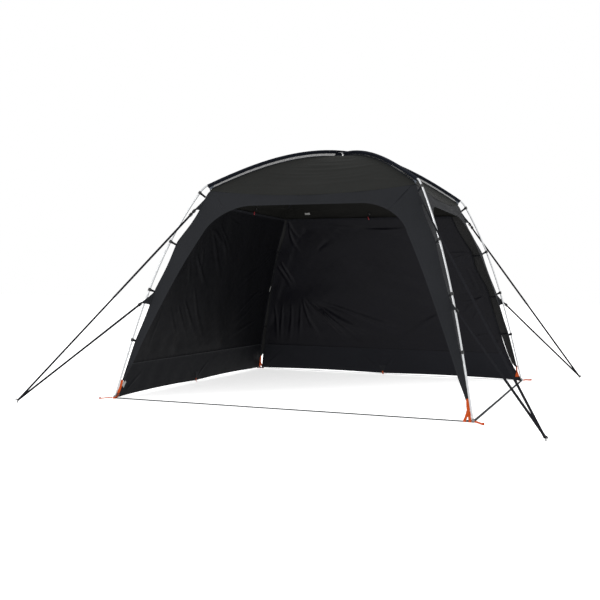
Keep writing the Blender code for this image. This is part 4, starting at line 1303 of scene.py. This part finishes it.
def makeFootStraps(corner):
    if corner == "front_left":
        makeWoundStrap(corner)
    else:
        makeForkedStrap(corner)
    # a thin tail from the foot to a peg
    half, peg = poles["footHalf"], footStrap["peg"]
    tail = smoothRun([(half + 0.0135, 0.0105, 0.0), (half + 0.04, 0.0125, 0.004),
                      (peg - 0.014, 0.0095, 0.0065), (peg + 0.001, 0.0090, 0.0052),
                      (peg + 0.005, 0.0090, 0.0), (peg + 0.001, 0.0090, -0.0048),
                      (peg - 0.016, 0.0095, -0.002)], 40)
    width = footStrap["thinTail" if corner == "front_left" else "tail"]
    makeStrap("foot_strap_tail_" + corner, [cornerPoint(corner, *p) for p in tail], (0, 0, 1), width,
              footStrap["tailThick"], orangeWebbing, "orange_webbing")
    heights, radii = zip(*pegProfile)
    path = [cornerPoint(corner, peg, z) for z in heights]
    ride(lathe("foot_peg_" + corner, path, cornerFrame(corner)[1], radii, [redPlastic]), "orange_webbing")


def makeGroundStrap(side, turns):
    reach = poles["footHalf"] - foot["radius"] - 0.0005
    x = np.linspace(-reach, reach, 90)
    y = -poles["footHalf"] + ripple(x, 0, 171 + turns, 1.1, 5) * groundStrap["wave"] * (1 - (x / reach) ** 2)
    path = turned(np.stack([x, y, np.full_like(x, groundStrap["height"])], axis=-1), turns)
    tilt = groundStrap["tilt"]  # the outer edge lies lower
    wide = turned([[0, math.cos(tilt), math.sin(tilt)]], turns)[0]
    makeStrap("ground_webbing_" + side, path, wide, groundStrap["width"], groundStrap["thick"], greyWebbing,
              "webbing", "ground_strap_" + side)


for turns, side in enumerate(sides):
    makeGroundStrap(side, turns)
for corner in corners:
    makeFootStraps(corner)
print("ground straps made")


# small things

# (along, height, width, length, inwards, tilt)
tags = {"back": (-0.722, 1.795, 0.058, 0.022, 0.004, 0.0),
        "left": (-1.478, 0.126, 0.046, 0.058, 0.0065, -0.62),
        "corner": (1.262, 0.958, 0.016, 0.062, 0.018, -0.25)}
tagCurl, tagThick = 0.006, 0.0009
toggles = {"back": (-0.025, 1.735), "left": (0.137, 1.738)}
toggleCord = {"width": 0.008, "thick": 0.0014,  # and its line: (along, up, inwards)
              "line": ((0.012, 0.052, 0.0045), (0.008, 0.03, 0.012), (0, 0.006, 0.014))}
toggleBlocks = (("toggle_", (0, 0, 0.016), (0.034, 0.010, 0.009), 0.003, redPlastic),
                ("toggle_hook_", (0.015, 0.047, 0.011), (0.024, 0.018, 0.008), 0.0025, blackPlastic))
pegLoop = {"width": 0.015, "thick": 0.0016, "tabThick": 0.0014, "tabInward": 0.0062,
           "line": ((0, 0.040, 0.0070), (0, 0.024, 0.0075), (0.004, 0.011, 0.010), (0.006, 0.0022, 0.018))}
edgeLoops = {"left": ((1, 0.51), (1, 0.951), (1, 1.38)),
             "back": ((-1, 0.51), (-1, 0.951), (-1, 1.38), (1, 0.51), (1, 0.903), (1, 1.335))}
edgeLoop = {"width": 0.012, "thick": 0.0015}


def wallPlace(side, along, z, inward=0.0):  # a point on the inside of a side, by its world x or y
    turns = sides.index(side)
    depth = float(sideDepth(np.array(along), np.array(z))) - inward
    return turned([[-along, -depth, z]], turns)[0]


def wallLine(side, along, z, steps):
    return [wallPlace(side, along + a, z + b, c) for a, b, c in steps]


def makeTag(name, side, along, z, width, height, inward, tilt):
    # blank woven tag, slightly curled
    u, v = np.meshgrid(np.linspace(-0.5, 0.5, 7), np.linspace(-0.5, 0.5, 9))
    a = along + u * width * math.cos(tilt) - v * height * math.sin(tilt)
    h = z + u * width * math.sin(tilt) + v * height * math.cos(tilt)
    curl = tagCurl * (0.5 - v) ** 2
    points = [[wallPlace(side, p, q, inward + c) for p, q, c in zip(*row)] for row in zip(a, h, curl)]
    ride(clothSheet("blank_tag_" + name, np.array(points), [paleLabel, paleLabel], tagThick), "webbing")


def makeToggle(side):
    # red toggle on a short cord under the eave band, which holds the wall's top edge
    along, z = toggles[side]
    turns = sides.index(side)
    lengthways, inwards, wide = turned([[0.35, 0, 1], [0, 1, 0], [1, 0, 0]], turns)
    hang = smoothRun(wallLine(side, along, z, toggleCord["line"]), 12)
    makeStrap("toggle_loop_" + side, hang, wide, toggleCord["width"], toggleCord["thick"], blackWebbing,
              "webbing")
    for name, (a, b, c), size, bevel, material in toggleBlocks:
        bm = bmesh.new()
        spot = wallPlace(side, along + a, z + b, c)
        roundedBox(bm, size, placeOn(spot, lengthways, inwards), bevel)
        ride(fromBmesh(name + side, bm, [material]), "webbing")


def makePegLoop(side):
    # orange loop at the middle of the hem, and the dark tab that it is sewn to
    along = pegPlaces[side]
    turns = sides.index(side)
    wide = turned([[1, 0, 0]], turns)[0]
    drop = smoothRun(wallLine(side, along, 0, pegLoop["line"]), 18)
    makeStrap("peg_loop_" + side, drop, wide, pegLoop["width"], pegLoop["thick"], orangeWebbing,
              "orange_webbing")
    grid = [[wallPlace(side, along + u * (0.012 + 0.030 * r), 0.034 + 0.075 * r, pegLoop["tabInward"])
             for u in np.linspace(1, -1, 7)] for r in np.linspace(0, 1, 8)]
    ride(clothSheet("peg_tab_" + side, np.array(grid), [blackCloth, blackCloth], pegLoop["tabThick"]),
         "wall_cloth")


def makeEdgeLoops(side):
    # short straps that hold a wall's upright edge to the corner's clips
    near, far = wallEnds[side]
    for number, (hand, z) in enumerate(edgeLoops[side]):
        gap = float(np.interp(z, *zip(*wallGaps[far if hand > 0 else near])))
        reach = clothOffset(z) - scallopDepth(np.array(z))
        line = [wallPlace(side, hand * (reach - gap - 0.03), z - 0.006, 0.0098),
                wallPlace(side, hand * (reach - gap), z - 0.003, 0.0112),
                wallPlace(side, hand * (reach - 0.004), z + 0.004, 0.0045)]
        makeStrap(f"wall_loop_{side}_{number}", smoothRun(line, 12), (0, 0, 1), edgeLoop["width"],
                  edgeLoop["thick"], blackWebbing, "webbing")


for side in walled:
    makeTag(side, side, *tags[side])
    makeToggle(side)
    makePegLoop(side)
    makeEdgeLoops(side)
makeTag("corner", "left", *tags["corner"])
print("small things made")


# studio

camera = {"place": (2.6075, -7.9516, 1.0018), "yaw": -20.88236585, "pitch": -0.96199259, "roll": 0.6628876,
          "focalPixels": 859.82, "framePixels": 600, "sensor": 36.0}


def makeCamera():
    yaw, pitch, roll = (math.radians(camera[k]) for k in ("yaw", "pitch", "roll"))
    ahead = Vector((math.sin(yaw) * math.cos(pitch), math.cos(yaw) * math.cos(pitch), math.sin(pitch)))
    right0 = Vector((math.cos(yaw), -math.sin(yaw), 0))
    up0 = right0.cross(ahead)
    right = right0 * math.cos(roll) + up0 * math.sin(roll)
    upward = up0 * math.cos(roll) - right0 * math.sin(roll)
    data = bpy.data.cameras.new("camera")
    data.sensor_width = camera["sensor"]
    data.lens = camera["sensor"] * camera["focalPixels"] / camera["framePixels"]
    thing = bpy.data.objects.new("camera", data)
    turn = Matrix((right, upward, -ahead)).transposed().to_4x4()
    thing.matrix_world = Matrix.Translation(camera["place"]) @ turn
    bpy.context.scene.collection.objects.link(thing)
    bpy.context.scene.camera = thing


studio = {"floorHalf": 45, "floorColor": (0.86, 0.86, 0.86), "floorGlow": 0.68, "world": 1.0}
lights = {
    "key": {"place": (-8.0, -9.5, 9.5), "aim": (0, 0, 1.0), "size": 5.5, "power": 600},
    "fill": {"place": (7.0, -5.0, 4.0), "aim": (0, 0, 1.2), "size": 5.0, "power": 62},
    "top": {"place": (0.5, 1.0, 7.5), "aim": (0, 0, 0), "size": 5.0, "power": 50},
}


def makeStudio():
    world = bpy.data.worlds.new("studio")
    world.use_nodes = True
    world.node_tree.nodes["Background"].inputs["Color"].default_value = (1, 1, 1, 1)
    world.node_tree.nodes["Background"].inputs["Strength"].default_value = studio["world"]
    bpy.context.scene.world = world
    bm = bmesh.new()
    bmesh.ops.create_grid(bm, x_segments=1, y_segments=1, size=studio["floorHalf"])
    pale = bpy.data.materials.new("pale floor")
    pale.use_nodes = True
    shader = pale.node_tree.nodes["Principled BSDF"]
    shader.inputs["Base Color"].default_value = (*studio["floorColor"], 1)
    shader.inputs["Roughness"].default_value = 0.9
    shader.inputs["Emission Color"].default_value = (1, 1, 1, 1)
    shader.inputs["Emission Strength"].default_value = studio["floorGlow"]
    floor = fromBmesh("studio_floor", bm, [pale])
    for name, setting in lights.items():
        data = bpy.data.lights.new(name, "AREA")
        data.shape = "DISK"
        data.size = setting["size"]
        data.energy = setting["power"]
        lamp = bpy.data.objects.new(name, data)
        lamp.location = setting["place"]
        away = Vector(setting["aim"]) - Vector(setting["place"])
        lamp.rotation_euler = away.to_track_quat("-Z", "Y").to_euler()
        bpy.context.scene.collection.objects.link(lamp)
    bpy.context.scene.view_settings.view_transform = "Standard"


makeCamera()
makeStudio()
print("studio ready")
